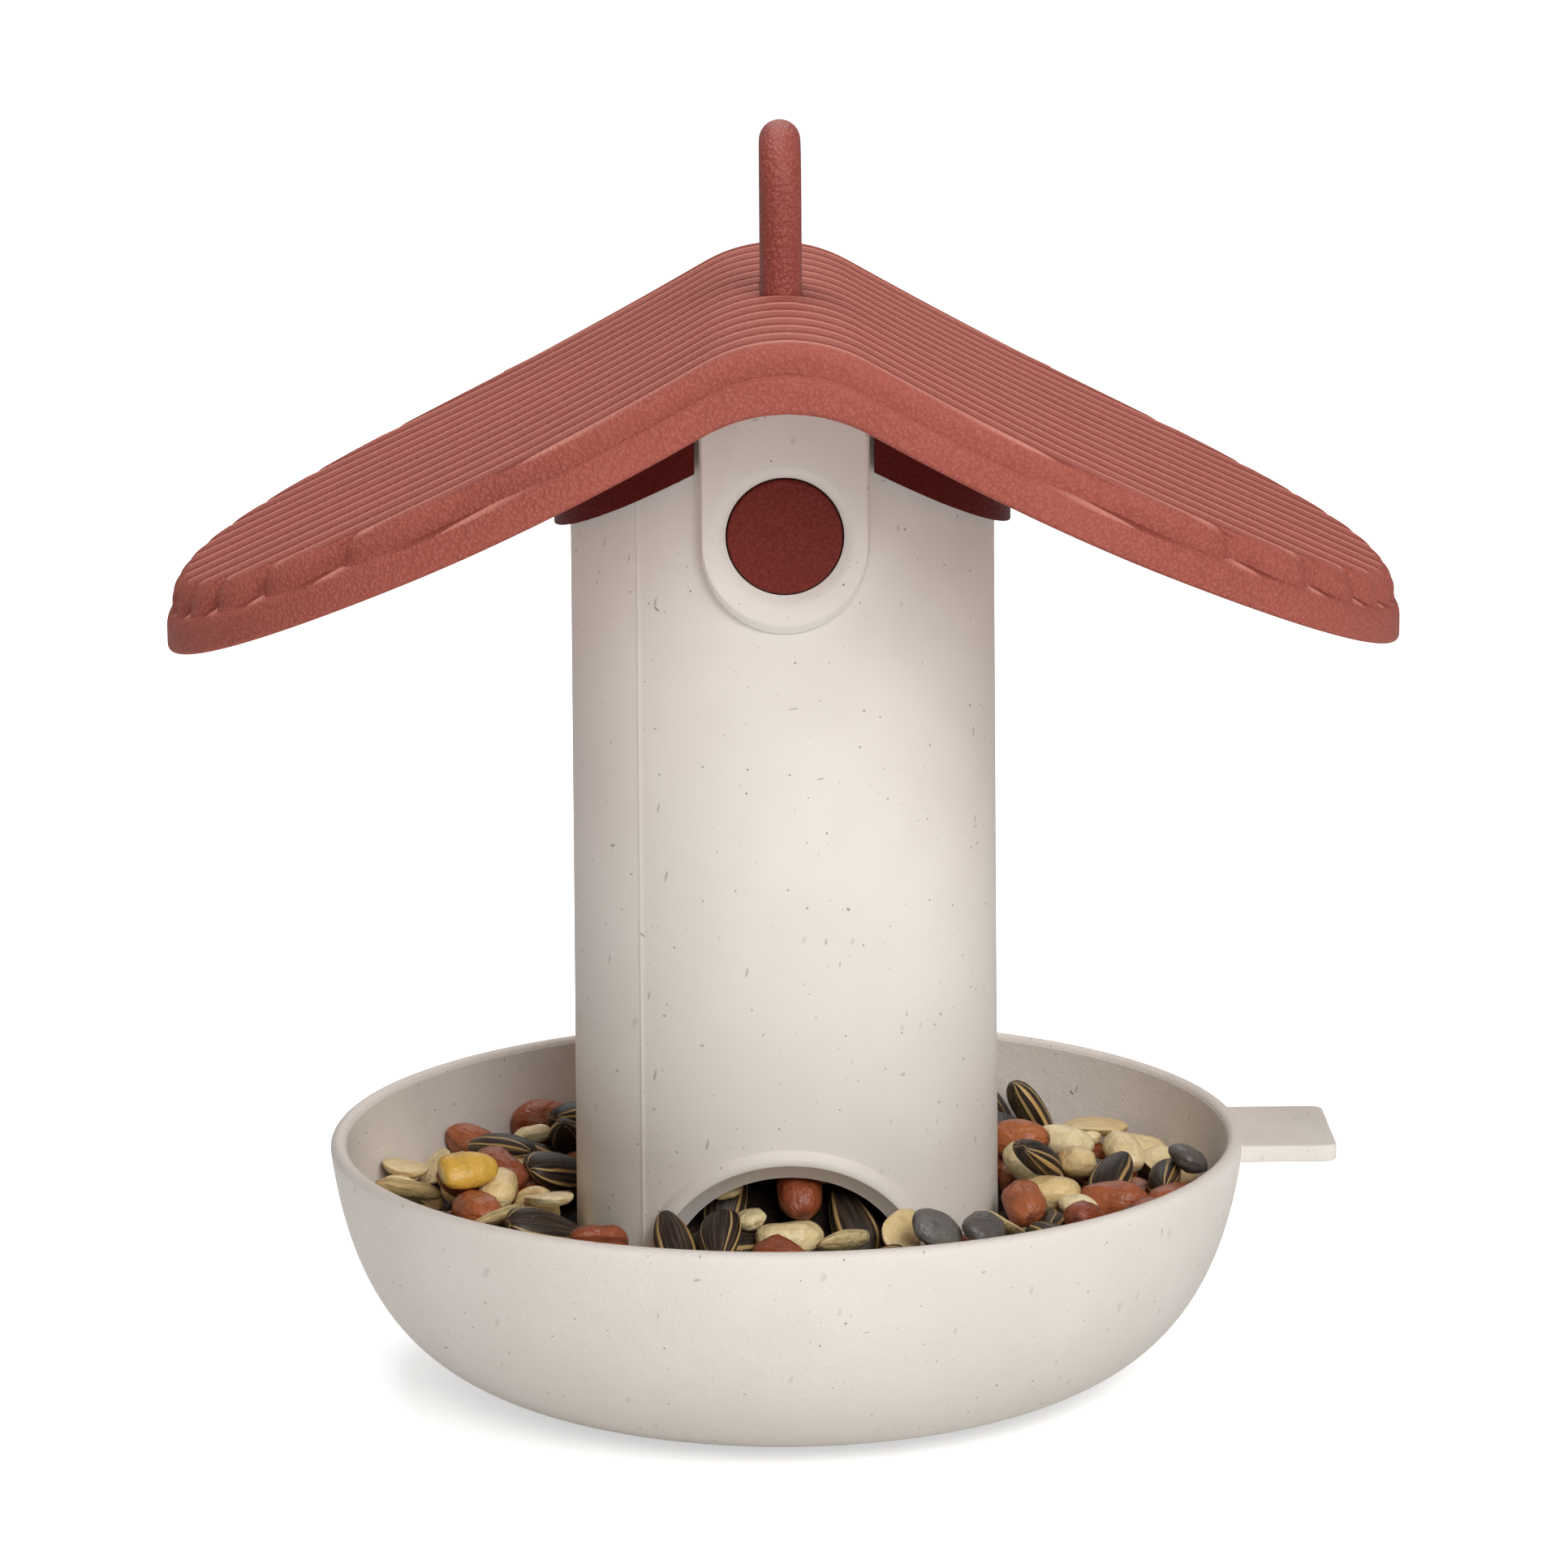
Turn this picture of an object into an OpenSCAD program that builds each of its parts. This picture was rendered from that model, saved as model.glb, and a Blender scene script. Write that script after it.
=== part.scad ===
// Bird feeder: a ribbed gable roof unclips and lifts off a seed tube that stands in a bowl.
// The origin is the centre of the bowl's flat base. X runs from eave to eave, Y along the ridge, Z up.

/* [Bowl] */
// Outer diameter of the bowl at its rim
bowl_d = 180.6; // [170:0.2:220]
// Height of the rim above the flat base
bowl_h = 49; // [45:0.5:60]
// Diameter of the flat base that the bowl stands on
base_d = 83; // [70:1:100]
// Height over which the side stays close to upright
side_pull = 34; // [26:1:40]
// Width over which the floor outside the base stays close to level
base_pull = 29; // [22:1:34]
// Lean of the side over its upright stretch
side_lean = 4; // [2:0.5:7]
// Thickness of the side and the floor
bowl_wall = 3.2; // [2.4:0.1:4]

/* [Perch tab] */
// Reach of the tab past the rim
tab_reach = 17.5; // [12:0.5:30]
// Width of the tab along the rim
tab_w = 31; // [20:1:50]
// Thickness of the tab
tab_t = 3.4; // [2.4:0.1:5]
// Radius of the tab's two outer corners
tab_corner_r = 2.5; // [1:0.5:6]
// Drop of the tab's top face below the rim
tab_drop = 0.6; // [0.2:0.1:3]

/* [Seed tube] */
// Outer diameter of the tube at its foot
tube_foot_d = 84; // [78:0.5:92]
// Outer diameter of the tube at its top
tube_top_d = 81.8; // [76:0.2:90]
// Wall of the tube
tube_wall = 2.4; // [1.8:0.1:3]
// Gap between the tube's gabled top and the plate of the collar
seat_gap = 0.3; // [0.2:0.05:1]
// Width of the two arches that let seed out, front and rear
arch_w = 53; // [40:1:58]
// Height of the arches above the base plane
arch_top = 52.6; // [46:0.5:60]
// Width of the raised bead round an arch
bead_w = 3.2; // [2:0.1:5]
// Height of that bead off the tube
bead_t = 1.2; // [0.8:0.1:2]
// Height of the ring on the bowl's floor that the tube fits over
spigot_h = 12; // [8:1:18]
// Radial clearance between that ring and the tube
spigot_gap = 0.15; // [0.1:0.05:0.4]
// Width of the lug on the ring that clicks into each side of the tube
lug_w = 9; // [6:0.5:14]
// Height of the lug
lug_h = 3.6; // [2.4:0.2:5]
// Reach of the lug into the tube's wall
lug_reach = 1.8; // [1.2:0.1:2.2]
// Distance from the top of the ring to the lug
lug_inset = 1; // [0.5:0.1:2]

/* [Release buttons] */
// Height of the buttons' centre
button_z = 174.3; // [168:0.1:178]
// Diameter of a button
button_d = 21.6; // [18:0.2:23]
// Gap between a button and its hole
button_gap = 0.3; // [0.2:0.05:0.6]
// Depth of a button's face behind the pad's face
button_inset = 0.2; // [0.1:0.1:1]
// Width of the dished ring round a button hole
dish_w = 1.7; // [1:0.1:2.5]
// Depth of that dish
dish_t = 0.8; // [0.4:0.1:1.2]
// Width of the raised pads on the tube
pad_w = 31; // [29:0.5:33]
// Height of a pad's face off the front of the tube
pad_proud = 2.4; // [1.6:0.1:4]
// Thickness of a pad's wall
pad_wall = 2.4; // [1.8:0.1:3]
// Bevel round the foot of a pad
pad_bevel = 1.6; // [0.8:0.1:2.4]
// Drop of the pad's round end below the button's centre
pad_drop = 1.4; // [0:0.1:2]
// Width of the spring leg that carries a button
leg_w = 12; // [8:0.5:16]
// Thickness of the spring leg
leg_t = 2; // [1.4:0.1:2.4]
// Gap between the spring leg and the pad's wall in front of it
leg_gap = 0.3; // [0.2:0.05:0.6]
// Radius of the leg's round root
leg_root_r = 1.5; // [1.2:0.1:1.8]
// Gap left round the root, to the plate that it hangs from and to the pad's wall
leg_root_gap = 0.2; // [0.2:0.05:0.6]

/* [Roof] */
// Width of the roof, eave to eave
roof_w = 241; // [220:1:260]
// Depth of the roof along its ridge
roof_depth = 180; // [160:1:200]
// Squareness of the roof's oval outline, where 2 is an ellipse
roof_power = 2.5; // [2:0.1:3.5]
// Height of the ridge above the base plane
ridge_z = 216; // [214:0.5:222]
// Radius of the rounded ridge
crown_r = 30; // [20:1:40]
// Slope beside the ridge, in degrees
top_slope = 29.2; // [26:0.1:32]
// Slope at the eaves, in degrees
eave_slope = 24.5; // [22:0.1:28]
// Distance from the ridge at which the slope starts to ease
ease_from = 20; // [18:1:26]
// Distance from the ridge at which the slope has eased
ease_to = 70; // [50:1:90]
// Number of ribs across the depth of the roof
rib_count = 14; // [8:2:18]
// Distance from one rib to the next
rib_pitch = 11.53; // [8:0.01:12]
// Width of the groove between two ribs
groove_w = 1.3; // [0.8:0.1:2]
// Height of the ribs
rib_h = 0.9; // [0.5:0.1:1.6]
// Distance from the roof's outline to the ends of the ribs
rib_inset = 5.5; // [4.5:0.1:8]
// Thickness of the roof's deck
deck_t = 2.4; // [1.8:0.1:3]
// Height of the fascia round the roof, from the rib tops to its lower edge
fascia_h = 12.4; // [11:0.1:16]
// Thickness of the fascia's wall
fascia_wall = 2.4; // [1.8:0.1:3]
// Drop of the ledge between the shoulder and the fascia's lower band
ledge_drop = 5.4; // [4.8:0.1:6]
// Width of that ledge
ledge_w = 2.6; // [1.5:0.1:3.5]

/* [Collar under the roof] */
// Clearance between the collar and the tube
collar_gap = 1.2; // [0.8:0.1:1.6]
// Wall of the collar
collar_wall = 2; // [1.6:0.1:2.6]
// Drop of the collar's lower edge below the roof surface
collar_drop = 25; // [20:0.5:30]
// Gap between the collar's end and the side of a pad
collar_pad_gap = 1.3; // [0.8:0.1:3]
// Radius of the collar's lower corners beside the pads
collar_corner_r = 3; // [1.5:0.5:5]
// Thickness of the plate that joins the collar's halves under the deck
plate_t = 3.2; // [2.8:0.1:3.6]
// Radius of the four posts under the deck that hold the plate
post_r = 2; // [1.5:0.1:2.6]
// Half of the spacing of the posts along X
post_x = 26; // [20:0.5:28]
// Half of the spacing of the posts along Y
post_y = 20; // [16:0.5:24]
// Length of a post that shows below the plate
post_tail = 1; // [0.5:0.1:2]
// Radial clearance of a post in its hole
post_gap = 0.1; // [0.05:0.05:0.3]

/* [Hanging loop] */
// Diameter of the loop's round bar
loop_bar_d = 8; // [6:0.5:9]
// Outer width of the loop along the ridge
loop_w = 26; // [24:0.5:34]
// Height of the loop above the ridge
loop_h = 32.4; // [24:0.2:45]
// Clearance between the loop's foot and its slot in the roof
loop_gap = 0.2; // [0.1:0.05:0.4]
// Width by which the loop's flange is larger than the foot, each way
flange_w = 4; // [2.5:0.5:6]
// Thickness of the flange
flange_t = 1.6; // [1.2:0.1:1.8]

/* [Seed] */
// Height of the bed of seed in the bowl, under the seeds that lie on it
seed_z = 32; // [24:0.5:34]
// Height of the heap of seed inside the tube
heap_z = 62; // [58:0.5:90]
// Height of the heap's edge at the arches above the bed
heap_edge = 10; // [4:1:14]
// Slope of the heap towards the arches, in degrees
heap_slope = 38; // [30:1:44]
// Clearance kept between the seed and the walls
seed_gap = 0.3; // [0.2:0.05:0.6]
// Number of rings of seeds that lie on the bed
ring_count = 3; // [1:1:3]
// Distance from one ring of seeds to the next
ring_pitch = 11; // [10.5:0.1:12]
// Distance along a ring from one seed to the next
seed_pitch = 20; // [19:0.5:30]
// Length of a sunflower seed
sunflower_l = 17; // [12:0.5:18]
// Width of a sunflower seed
sunflower_w = 8; // [6:0.5:8.5]
// Thickness of a sunflower seed
sunflower_t = 5.6; // [4:0.2:7]
// Length of a peanut kernel
peanut_l = 13; // [10:0.5:15]
// Width of a peanut kernel
peanut_w = 8.4; // [7:0.2:9]
// Thickness of a peanut kernel
peanut_t = 7.6; // [6:0.2:8.4]

/* [Hidden] */
$fn = 64;
// Overlap that lets joined shapes fuse, and overshoot that lets cuts run clean through
eps = 0.5;
cut = 2;
// A length past every part of the feeder
beyond = 300;

white = [0.85, 0.82, 0.78];
red = [0.55, 0.25, 0.20];
dark_red = [0.35, 0.13, 0.10];
husk = [0.55, 0.42, 0.28];
shell_black = [0.20, 0.17, 0.15];
nut = [0.85, 0.74, 0.55];

bowl_r = bowl_d / 2;
base_r = base_d / 2;
rim_r = bowl_wall / 2;
side_steps = 16;

deck_drop = rib_h + deck_t;
plate_drop = deck_drop + plate_t;

tube_z = bowl_wall;
tube_top_drop = plate_drop + seat_gap;
tube_top_z = ridge_z - tube_top_drop;
arch_r = arch_w / 2;
arch_z = arch_top - arch_r;
spigot_r = tube_in(tube_z + spigot_h) - spigot_gap;
lug_z = tube_z + spigot_h - lug_h - lug_inset;

pad_r = pad_w / 2;
pad_z = button_z - pad_drop;
pad_y = tube_out(button_z) + pad_proud;
pad_inner_y = pad_y - pad_wall;
hole_r = button_d / 2 + button_gap;
channel_r = pad_r - pad_wall;
button_y = pad_y - button_inset;
leg_y = pad_inner_y - leg_gap;
root_y = pad_inner_y - leg_root_gap - leg_root_r;
// Draft of a pad's sides, and the depth that its channel is cut to behind the pad's wall
pad_draft = 0.4;
channel_depth = 10;

crown_x = crown_r * sin(top_slope);
crown_fall = crown_r * (1 - cos(top_slope));
ease_fall = crown_fall + tan(top_slope) * (ease_from - crown_x);
ease_rate = (tan(top_slope) - tan(eave_slope)) / (2 * (ease_to - ease_from));
eased_fall = ease_fall + tan(top_slope) * (ease_to - ease_from)
    - ease_rate * pow(ease_to - ease_from, 2);
outline_steps = 96;

collar_in_r = tube_out(button_z) + collar_gap;
collar_out_r = collar_in_r + collar_wall;
collar_end_x = pad_r + collar_pad_gap;
root_z = ridge_z - fall(leg_w / 2) - plate_drop - leg_root_gap - leg_root_r;

loop_bar_r = loop_bar_d / 2;
loop_bend_r = loop_w / 2 - loop_bar_r;
loop_bend_z = ridge_z + loop_h - loop_bar_r - loop_bend_r;

ring_r = tube_out(seed_z) + bead_t + ring_pitch;
// Swing of the seeds off their ring, and the shape and the mix of the two kinds
swing_angle = 10;
sunflower_share = 0.5;
plump_share = 0.6;
sunflower_tip = 1;
peanut_tip = 2;
random_seed = 7;

// Outer and inner radius of the tapered tube at height z
function tube_out(z) = let (share = (z - tube_z) / (tube_top_z - tube_z))
    (tube_foot_d + (tube_top_d - tube_foot_d) * share) / 2;
function tube_in(z) = tube_out(z) - tube_wall;

// Point at t, from 0 at the rim to 1 at the base, on the bowl's outer side
function side_point(t) =
    pow(1 - t, 3) * [bowl_r, bowl_h - rim_r]
    + 3 * t * pow(1 - t, 2) * [bowl_r - side_lean, bowl_h - rim_r - side_pull]
    + 3 * t * t * (1 - t) * [base_r + base_pull, 0]
    + t * t * t * [base_r, 0];

// Unit vector at t that points from the side into the bowl
function side_inward(t) = let (
    step = 0.001,
    run = side_point(min(1, t + step)) - side_point(max(0, t - step))
) [run[1], -run[0]] / norm(run);

// Outline of the space inside the bowl, kept a clearance off its wall
function cavity_points(clear) = concat(
    [[0, bowl_wall + clear]],
    [for (i = [side_steps:-1:0]) let (t = i / side_steps)
        side_point(t) + (bowl_wall + clear) * side_inward(t)],
    [[bowl_r - bowl_wall - clear, bowl_h + cut], [0, bowl_h + cut]]
);

// Fall of the roof's surface from the ridge at distance x from it
function fall(x) = let (a = abs(x))
    a < crown_x ? crown_r - sqrt(crown_r * crown_r - a * a)
    : a < ease_from ? crown_fall + tan(top_slope) * (a - crown_x)
    : a < ease_to ? ease_fall + tan(top_slope) * (a - ease_from) - ease_rate * pow(a - ease_from, 2)
    : eased_fall + tan(eave_slope) * (a - ease_to);

// Places along X where the roof's outline has a point, on one side of the ridge
half_stations = concat(
    [for (i = [1:5]) crown_r * sin(top_slope * i / 5)],
    [ease_from],
    [for (i = [1:5]) ease_from + (ease_to - ease_from) * i / 5],
    [roof_w / 2 + cut]
);
stations = concat([for (i = [len(half_stations) - 1:-1:0]) -half_stations[i]], [0], half_stations);

// Oval with the roof's outline, drawn in by inset
function oval(inset) = [
    for (i = [0:outline_steps - 1])
        let (t = 360 * i / outline_steps, c = cos(t), s = sin(t))
            [(roof_w / 2 - inset) * sign(c) * pow(abs(c), 2 / roof_power),
                (roof_depth / 2 - inset) * sign(s) * pow(abs(s), 2 / roof_power)]
];

// Half of a rib's length where its middle lies y from the roof's centre
function rib_reach(y) = let (share = abs(y) / (roof_depth / 2 - rib_inset))
    (roof_w / 2 - rib_inset) * pow(1 - pow(share, roof_power), 1 / roof_power);

// Layer that follows the roof's surface, between two drops below it
module layer(top, bottom, depth = beyond) {
    rotate([90, 0, 0])
        linear_extrude(height = depth, center = true)
            polygon(concat(
                [for (x = stations) [x, ridge_z - fall(x) - top]],
                [for (i = [len(stations) - 1:-1:0]) [stations[i], ridge_z - fall(stations[i]) - bottom]]
            ));
}

// Upright prism with the roof's outline, hollow when wall is given
module outline_prism(inset, wall = 0) {
    linear_extrude(height = ridge_z + cut)
        difference() {
            polygon(oval(inset));
            if (wall > 0) polygon(oval(inset + wall));
        }
}

// Solid of revolution under the bowl's outer side, with a round rim
module bowl_outside() {
    rotate_extrude($fn = 128)
        union() {
            polygon(concat(
                [[0, 0]],
                [for (i = [side_steps:-1:0]) side_point(i / side_steps)],
                [[bowl_r - bowl_wall, bowl_h - rim_r], [0, bowl_h - rim_r]]
            ));
            translate([bowl_r - rim_r, bowl_h - rim_r]) circle(r = rim_r, $fn = 32);
        }
}

module bowl_cavity(clear = 0) {
    rotate_extrude($fn = 128) polygon(cavity_points(clear));
}

// Flat tab on the rim, with its two outer corners rounded
module perch_tab() {
    tip_x = bowl_r + tab_reach;
    translate([0, 0, bowl_h - tab_drop - tab_t])
        linear_extrude(height = tab_t)
            union() {
                translate([bowl_r - bowl_wall, -tab_w / 2])
                    square([tab_reach + bowl_wall - tab_corner_r, tab_w]);
                translate([tip_x - tab_corner_r - eps, -tab_w / 2 + tab_corner_r])
                    square([tab_corner_r + eps, tab_w - 2 * tab_corner_r]);
                for (side = [-1, 1])
                    translate([tip_x - tab_corner_r, side * (tab_w / 2 - tab_corner_r)])
                        circle(r = tab_corner_r, $fn = 32);
            }
}

// Passage of an arch through the tube, front to rear, widened by grow
module arch_passage(grow = 0) {
    rotate([90, 0, 0])
        linear_extrude(height = bowl_d, center = true)
            union() {
                translate([0, arch_z]) circle(r = arch_r + grow);
                translate([-arch_r - grow, -cut]) square([2 * (arch_r + grow), arch_z + cut]);
            }
}

// Ring on the floor that holds the tube's foot, with a lug on each side
module spigot(grow = 0) {
    difference() {
        union() {
            translate([0, 0, tube_z - eps]) cylinder(r = spigot_r + grow, h = spigot_h + eps + grow);
            for (side = [-1, 1])
                translate([side * (spigot_r - eps), 0, lug_z + lug_h / 2])
                    cube([2 * (lug_reach + eps + grow), lug_w + 2 * grow, lug_h + 2 * grow],
                        center = true);
        }
        translate([0, 0, -cut])
            cylinder(r = spigot_r - tube_wall - grow, h = beyond);
        arch_passage(spigot_gap - grow);
    }
}

module bowl() {
    color(white)
        union() {
            difference() {
                union() {
                    bowl_outside();
                    perch_tab();
                }
                bowl_cavity();
            }
            spigot();
        }
}

// Tapered solid of the tube's outside, or of its bore when inner, grown by grow
module taper(inner, grow = 0) {
    shrink = inner ? tube_wall : 0;
    low_z = inner ? tube_z - cut : tube_z;
    translate([0, 0, low_z])
        cylinder(r1 = tube_out(low_z) - shrink + grow, r2 = tube_out(ridge_z) - shrink + grow,
            h = ridge_z - low_z, $fn = 96);
}

// Raised pad with a round lower end, a bevelled foot and a face that is flat
module pad() {
    foot_r = pad_r + pad_bevel;
    foot_y = pad_y - pad_bevel;
    flank_x = pad_r + pad_draft;
    translate([0, 0, pad_z]) {
        rotate([90, 0, 0]) {
            cylinder(r = foot_r, h = foot_y);
            translate([0, 0, foot_y]) cylinder(r1 = foot_r, r2 = pad_r, h = pad_bevel);
        }
        linear_extrude(height = ridge_z - pad_z)
            polygon([[-pad_r, -pad_y], [pad_r, -pad_y], [flank_x, -foot_y], [flank_x, 0],
                [-flank_x, 0], [-flank_x, -foot_y]]);
    }
}

// Channel behind a pad in which the leg and the button slide when the roof is lifted
module pad_channel() {
    translate([0, 0, button_z]) {
        translate([0, channel_depth - pad_inner_y, 0])
            rotate([90, 0, 0]) cylinder(r = channel_r, h = channel_depth);
        translate([-channel_r, -pad_inner_y, 0])
            cube([2 * channel_r, channel_depth, beyond]);
    }
}

// Round hole for a button, with a dish round it
module button_hole() {
    start_y = pad_inner_y - cut;
    translate([0, 0, button_z])
        rotate([90, 0, 0]) {
            translate([0, 0, start_y]) cylinder(r = hole_r, h = pad_y + cut - start_y);
            translate([0, 0, pad_y - dish_t]) cylinder(r1 = hole_r, r2 = hole_r + dish_w, h = dish_t);
        }
}

// The same shape at the front and at the rear
module front_and_rear() {
    for (turn = [0, 180]) rotate([0, 0, turn]) children();
}

module seed_tube() {
    color(white)
        difference() {
            union() {
                taper(false);
                front_and_rear() pad();
                intersection() {
                    taper(false, bead_t);
                    arch_passage(bead_w);
                    translate([0, 0, tube_z]) cylinder(r = bowl_r, h = arch_top);
                }
            }
            taper(true);
            arch_passage();
            front_and_rear() pad_channel();
            front_and_rear() button_hole();
            layer(-beyond, tube_top_drop);
            for (side = [-1, 1])
                translate([side * tube_foot_d / 2, 0, lug_z + lug_h / 2])
                    cube([4 * tube_wall, lug_w + 4 * spigot_gap, lug_h + 4 * spigot_gap], center = true);
        }
}

// One rib: a strip over the ridge with round ends
module rib(y) {
    half_w = (rib_pitch - groove_w) / 2;
    reach = rib_reach(y);
    intersection() {
        translate([0, y, 0]) layer(0, rib_h + eps, rib_pitch);
        linear_extrude(height = ridge_z + cut)
            translate([0, y])
                union() {
                    square([2 * (reach - half_w), 2 * half_w], center = true);
                    for (side = [-1, 1])
                        translate([side * (reach - half_w), 0]) circle(r = half_w, $fn = 32);
                }
    }
}

// Upright slot in the roof for the foot of the hanging loop, grown by grow
module loop_slot(grow = 0) {
    half_w = loop_w / 2 + grow;
    half_t = loop_bar_r + grow;
    translate([-half_t, -half_w, 0]) cube([2 * half_t, 2 * half_w, beyond]);
}

// Four upright posts under the deck, grown by grow
module posts(grow = 0) {
    for (x = [-post_x, post_x])
        for (y = [-post_y, post_y])
            intersection() {
                translate([x, y, 0]) cylinder(r = post_r + grow, h = beyond, $fn = 32);
                layer(deck_drop - eps, plate_drop + post_tail + grow);
            }
}

module roof() {
    color(red)
        difference() {
            union() {
                intersection() {
                    layer(rib_h, deck_drop);
                    outline_prism(ledge_w);
                }
                intersection() {
                    layer(rib_h, ledge_drop + fascia_wall);
                    outline_prism(ledge_w, fascia_wall);
                }
                intersection() {
                    layer(ledge_drop, ledge_drop + fascia_wall);
                    outline_prism(0, ledge_w + fascia_wall);
                }
                intersection() {
                    layer(ledge_drop, fascia_h);
                    outline_prism(0, fascia_wall);
                }
                for (i = [0:rib_count - 1]) rib((i - (rib_count - 1) / 2) * rib_pitch);
                posts();
            }
            loop_slot(loop_gap);
        }
}

// The loop: a round bar bent over, on a foot that fills the slot, with a flange below the deck
module hanging_loop() {
    leg_h = loop_bend_z - ridge_z + eps;
    color(red)
        union() {
            translate([0, 0, loop_bend_z])
                rotate([90, 0, 90])
                    rotate_extrude(angle = 180)
                        translate([loop_bend_r, 0]) circle(r = loop_bar_r, $fn = 48);
            for (side = [-1, 1])
                translate([0, side * loop_bend_r, ridge_z - eps])
                    cylinder(r = loop_bar_r, h = leg_h, $fn = 48);
            intersection() {
                loop_slot();
                layer(0, deck_drop + eps);
            }
            intersection() {
                loop_slot(flange_w);
                layer(deck_drop, deck_drop + flange_t);
            }
        }
}

// Skirt round the tube and the plate that joins its halves, with room for the flange and the posts
module roof_collar() {
    color(dark_red)
        difference() {
            union() {
                intersection() {
                    layer(deck_drop, plate_drop);
                    cylinder(r = collar_out_r, h = beyond);
                }
                difference() {
                    intersection() {
                        layer(deck_drop, collar_drop);
                        cylinder(r = collar_out_r, h = beyond);
                    }
                    translate([0, 0, -cut]) cylinder(r = collar_in_r, h = beyond);
                    collar_window();
                }
            }
            intersection() {
                loop_slot(flange_w + loop_gap);
                layer(-cut, deck_drop + flange_t + loop_gap);
            }
            posts(post_gap);
        }
}

// Space between the two halves of the skirt, where the pads stand, with rounded lower corners
module collar_window() {
    corner_z = ridge_z - fall(collar_end_x) - collar_drop;
    rotate([90, 0, 0])
        linear_extrude(height = bowl_d, center = true) {
            translate([-collar_end_x, 0]) square([2 * collar_end_x, beyond]);
            for (side = [-1, 1])
                difference() {
                    translate([side * collar_end_x, corner_z])
                        square([2 * collar_corner_r, 2 * collar_corner_r], center = true);
                    translate([side * (collar_end_x + collar_corner_r), corner_z + collar_corner_r])
                        circle(r = collar_corner_r, $fn = 32);
                    translate([side * (collar_end_x + collar_corner_r), corner_z])
                        square([2 * collar_corner_r, 4 * collar_corner_r], center = true);
                }
        }
}

// Button on its spring leg, with a round root below the collar's plate
module latch() {
    color(red)
        union() {
            translate([0, 0, button_z])
                rotate([90, 0, 0])
                    translate([0, 0, leg_y - leg_t])
                        cylinder(d = button_d, h = button_y - leg_y + leg_t);
            translate([-leg_w / 2, -leg_y, button_z]) cube([leg_w, leg_t, root_z - button_z]);
            translate([-leg_w / 2, -root_y, root_z])
                rotate([0, 90, 0]) cylinder(r = leg_root_r, h = leg_w, $fn = 32);
        }
}

module front_latch() {
    latch();
}

module rear_latch() {
    rotate([0, 0, 180]) latch();
}

// Kernel lying along X: plump in the middle, drawn out to a blunt tip at both ends
module kernel(l, w, t, tip) {
    hull() {
        scale([l * plump_share / 2, w / 2, t / 2]) sphere(r = 1, $fn = 10);
        for (side = [-1, 1])
            translate([side * (l / 2 - tip), 0, 0]) scale([1, 1, t / w]) sphere(r = tip, $fn = 6);
    }
}

// Rings of seeds that lie on the bed, of which this draws the sunflower seeds or the peanuts
module surface_seeds(sunflower) {
    for (ring = [0:ring_count - 1]) {
        r = ring_r + ring * ring_pitch;
        count = floor(2 * PI * r / seed_pitch);
        kinds = rands(0, 1, count, random_seed + ring);
        swings = rands(-swing_angle, swing_angle, count, random_seed + ring + ring_count);
        for (i = [0:count - 1])
            if ((kinds[i] < sunflower_share) == sunflower)
                rotate([0, 0, 360 * (i + ring / 2) / count])
                    translate([r, 0, seed_z + (sunflower ? sunflower_t : peanut_t) / 2])
                        rotate([0, 0, 90 + swings[i]])
                            if (sunflower) kernel(sunflower_l, sunflower_w, sunflower_t, sunflower_tip);
                            else kernel(peanut_l, peanut_w, peanut_t, peanut_tip);
    }
}

module sunflower_seeds() {
    color(shell_black) surface_seeds(true);
}

module peanuts() {
    color(nut) surface_seeds(false);
}

// Seed that fills the bowl, through the arches and inside the foot of the tube
module seed_bed() {
    color(husk)
        difference() {
            intersection() {
                bowl_cavity(seed_gap);
                cylinder(r = bowl_r, h = seed_z);
            }
            difference() {
                taper(false, bead_t + seed_gap);
                translate([0, 0, -cut])
                    cylinder(r = tube_in(tube_z) - seed_gap, h = beyond);
                arch_passage(-seed_gap);
            }
            spigot(seed_gap);
        }
}

// Heap inside the tube, which falls towards both arches
module seed_heap() {
    foot_y = tube_in(seed_z);
    foot_z = seed_z + heap_edge;
    top_y = foot_y - (heap_z - foot_z) / tan(heap_slope);
    color(husk)
        intersection() {
            translate([0, 0, seed_z])
                cylinder(r1 = tube_in(seed_z) - seed_gap, r2 = tube_in(heap_z) - seed_gap,
                    h = heap_z - seed_z);
            rotate([90, 0, 90])
                linear_extrude(height = bowl_d, center = true)
                    polygon([[-foot_y, 0], [foot_y, 0], [foot_y, foot_z], [top_y, heap_z],
                        [-top_y, heap_z], [-foot_y, foot_z]]);
        }
}

bowl();
seed_tube();
roof();
hanging_loop();
roof_collar();
front_latch();
rear_latch();
seed_bed();
seed_heap();
sunflower_seeds();
peanuts();
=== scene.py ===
from math import copysign, cos, exp, hypot, pi, radians, remainder, sin, sqrt, tan

import bmesh
import bpy
import numpy as np
from mathutils import Matrix, Vector


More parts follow.
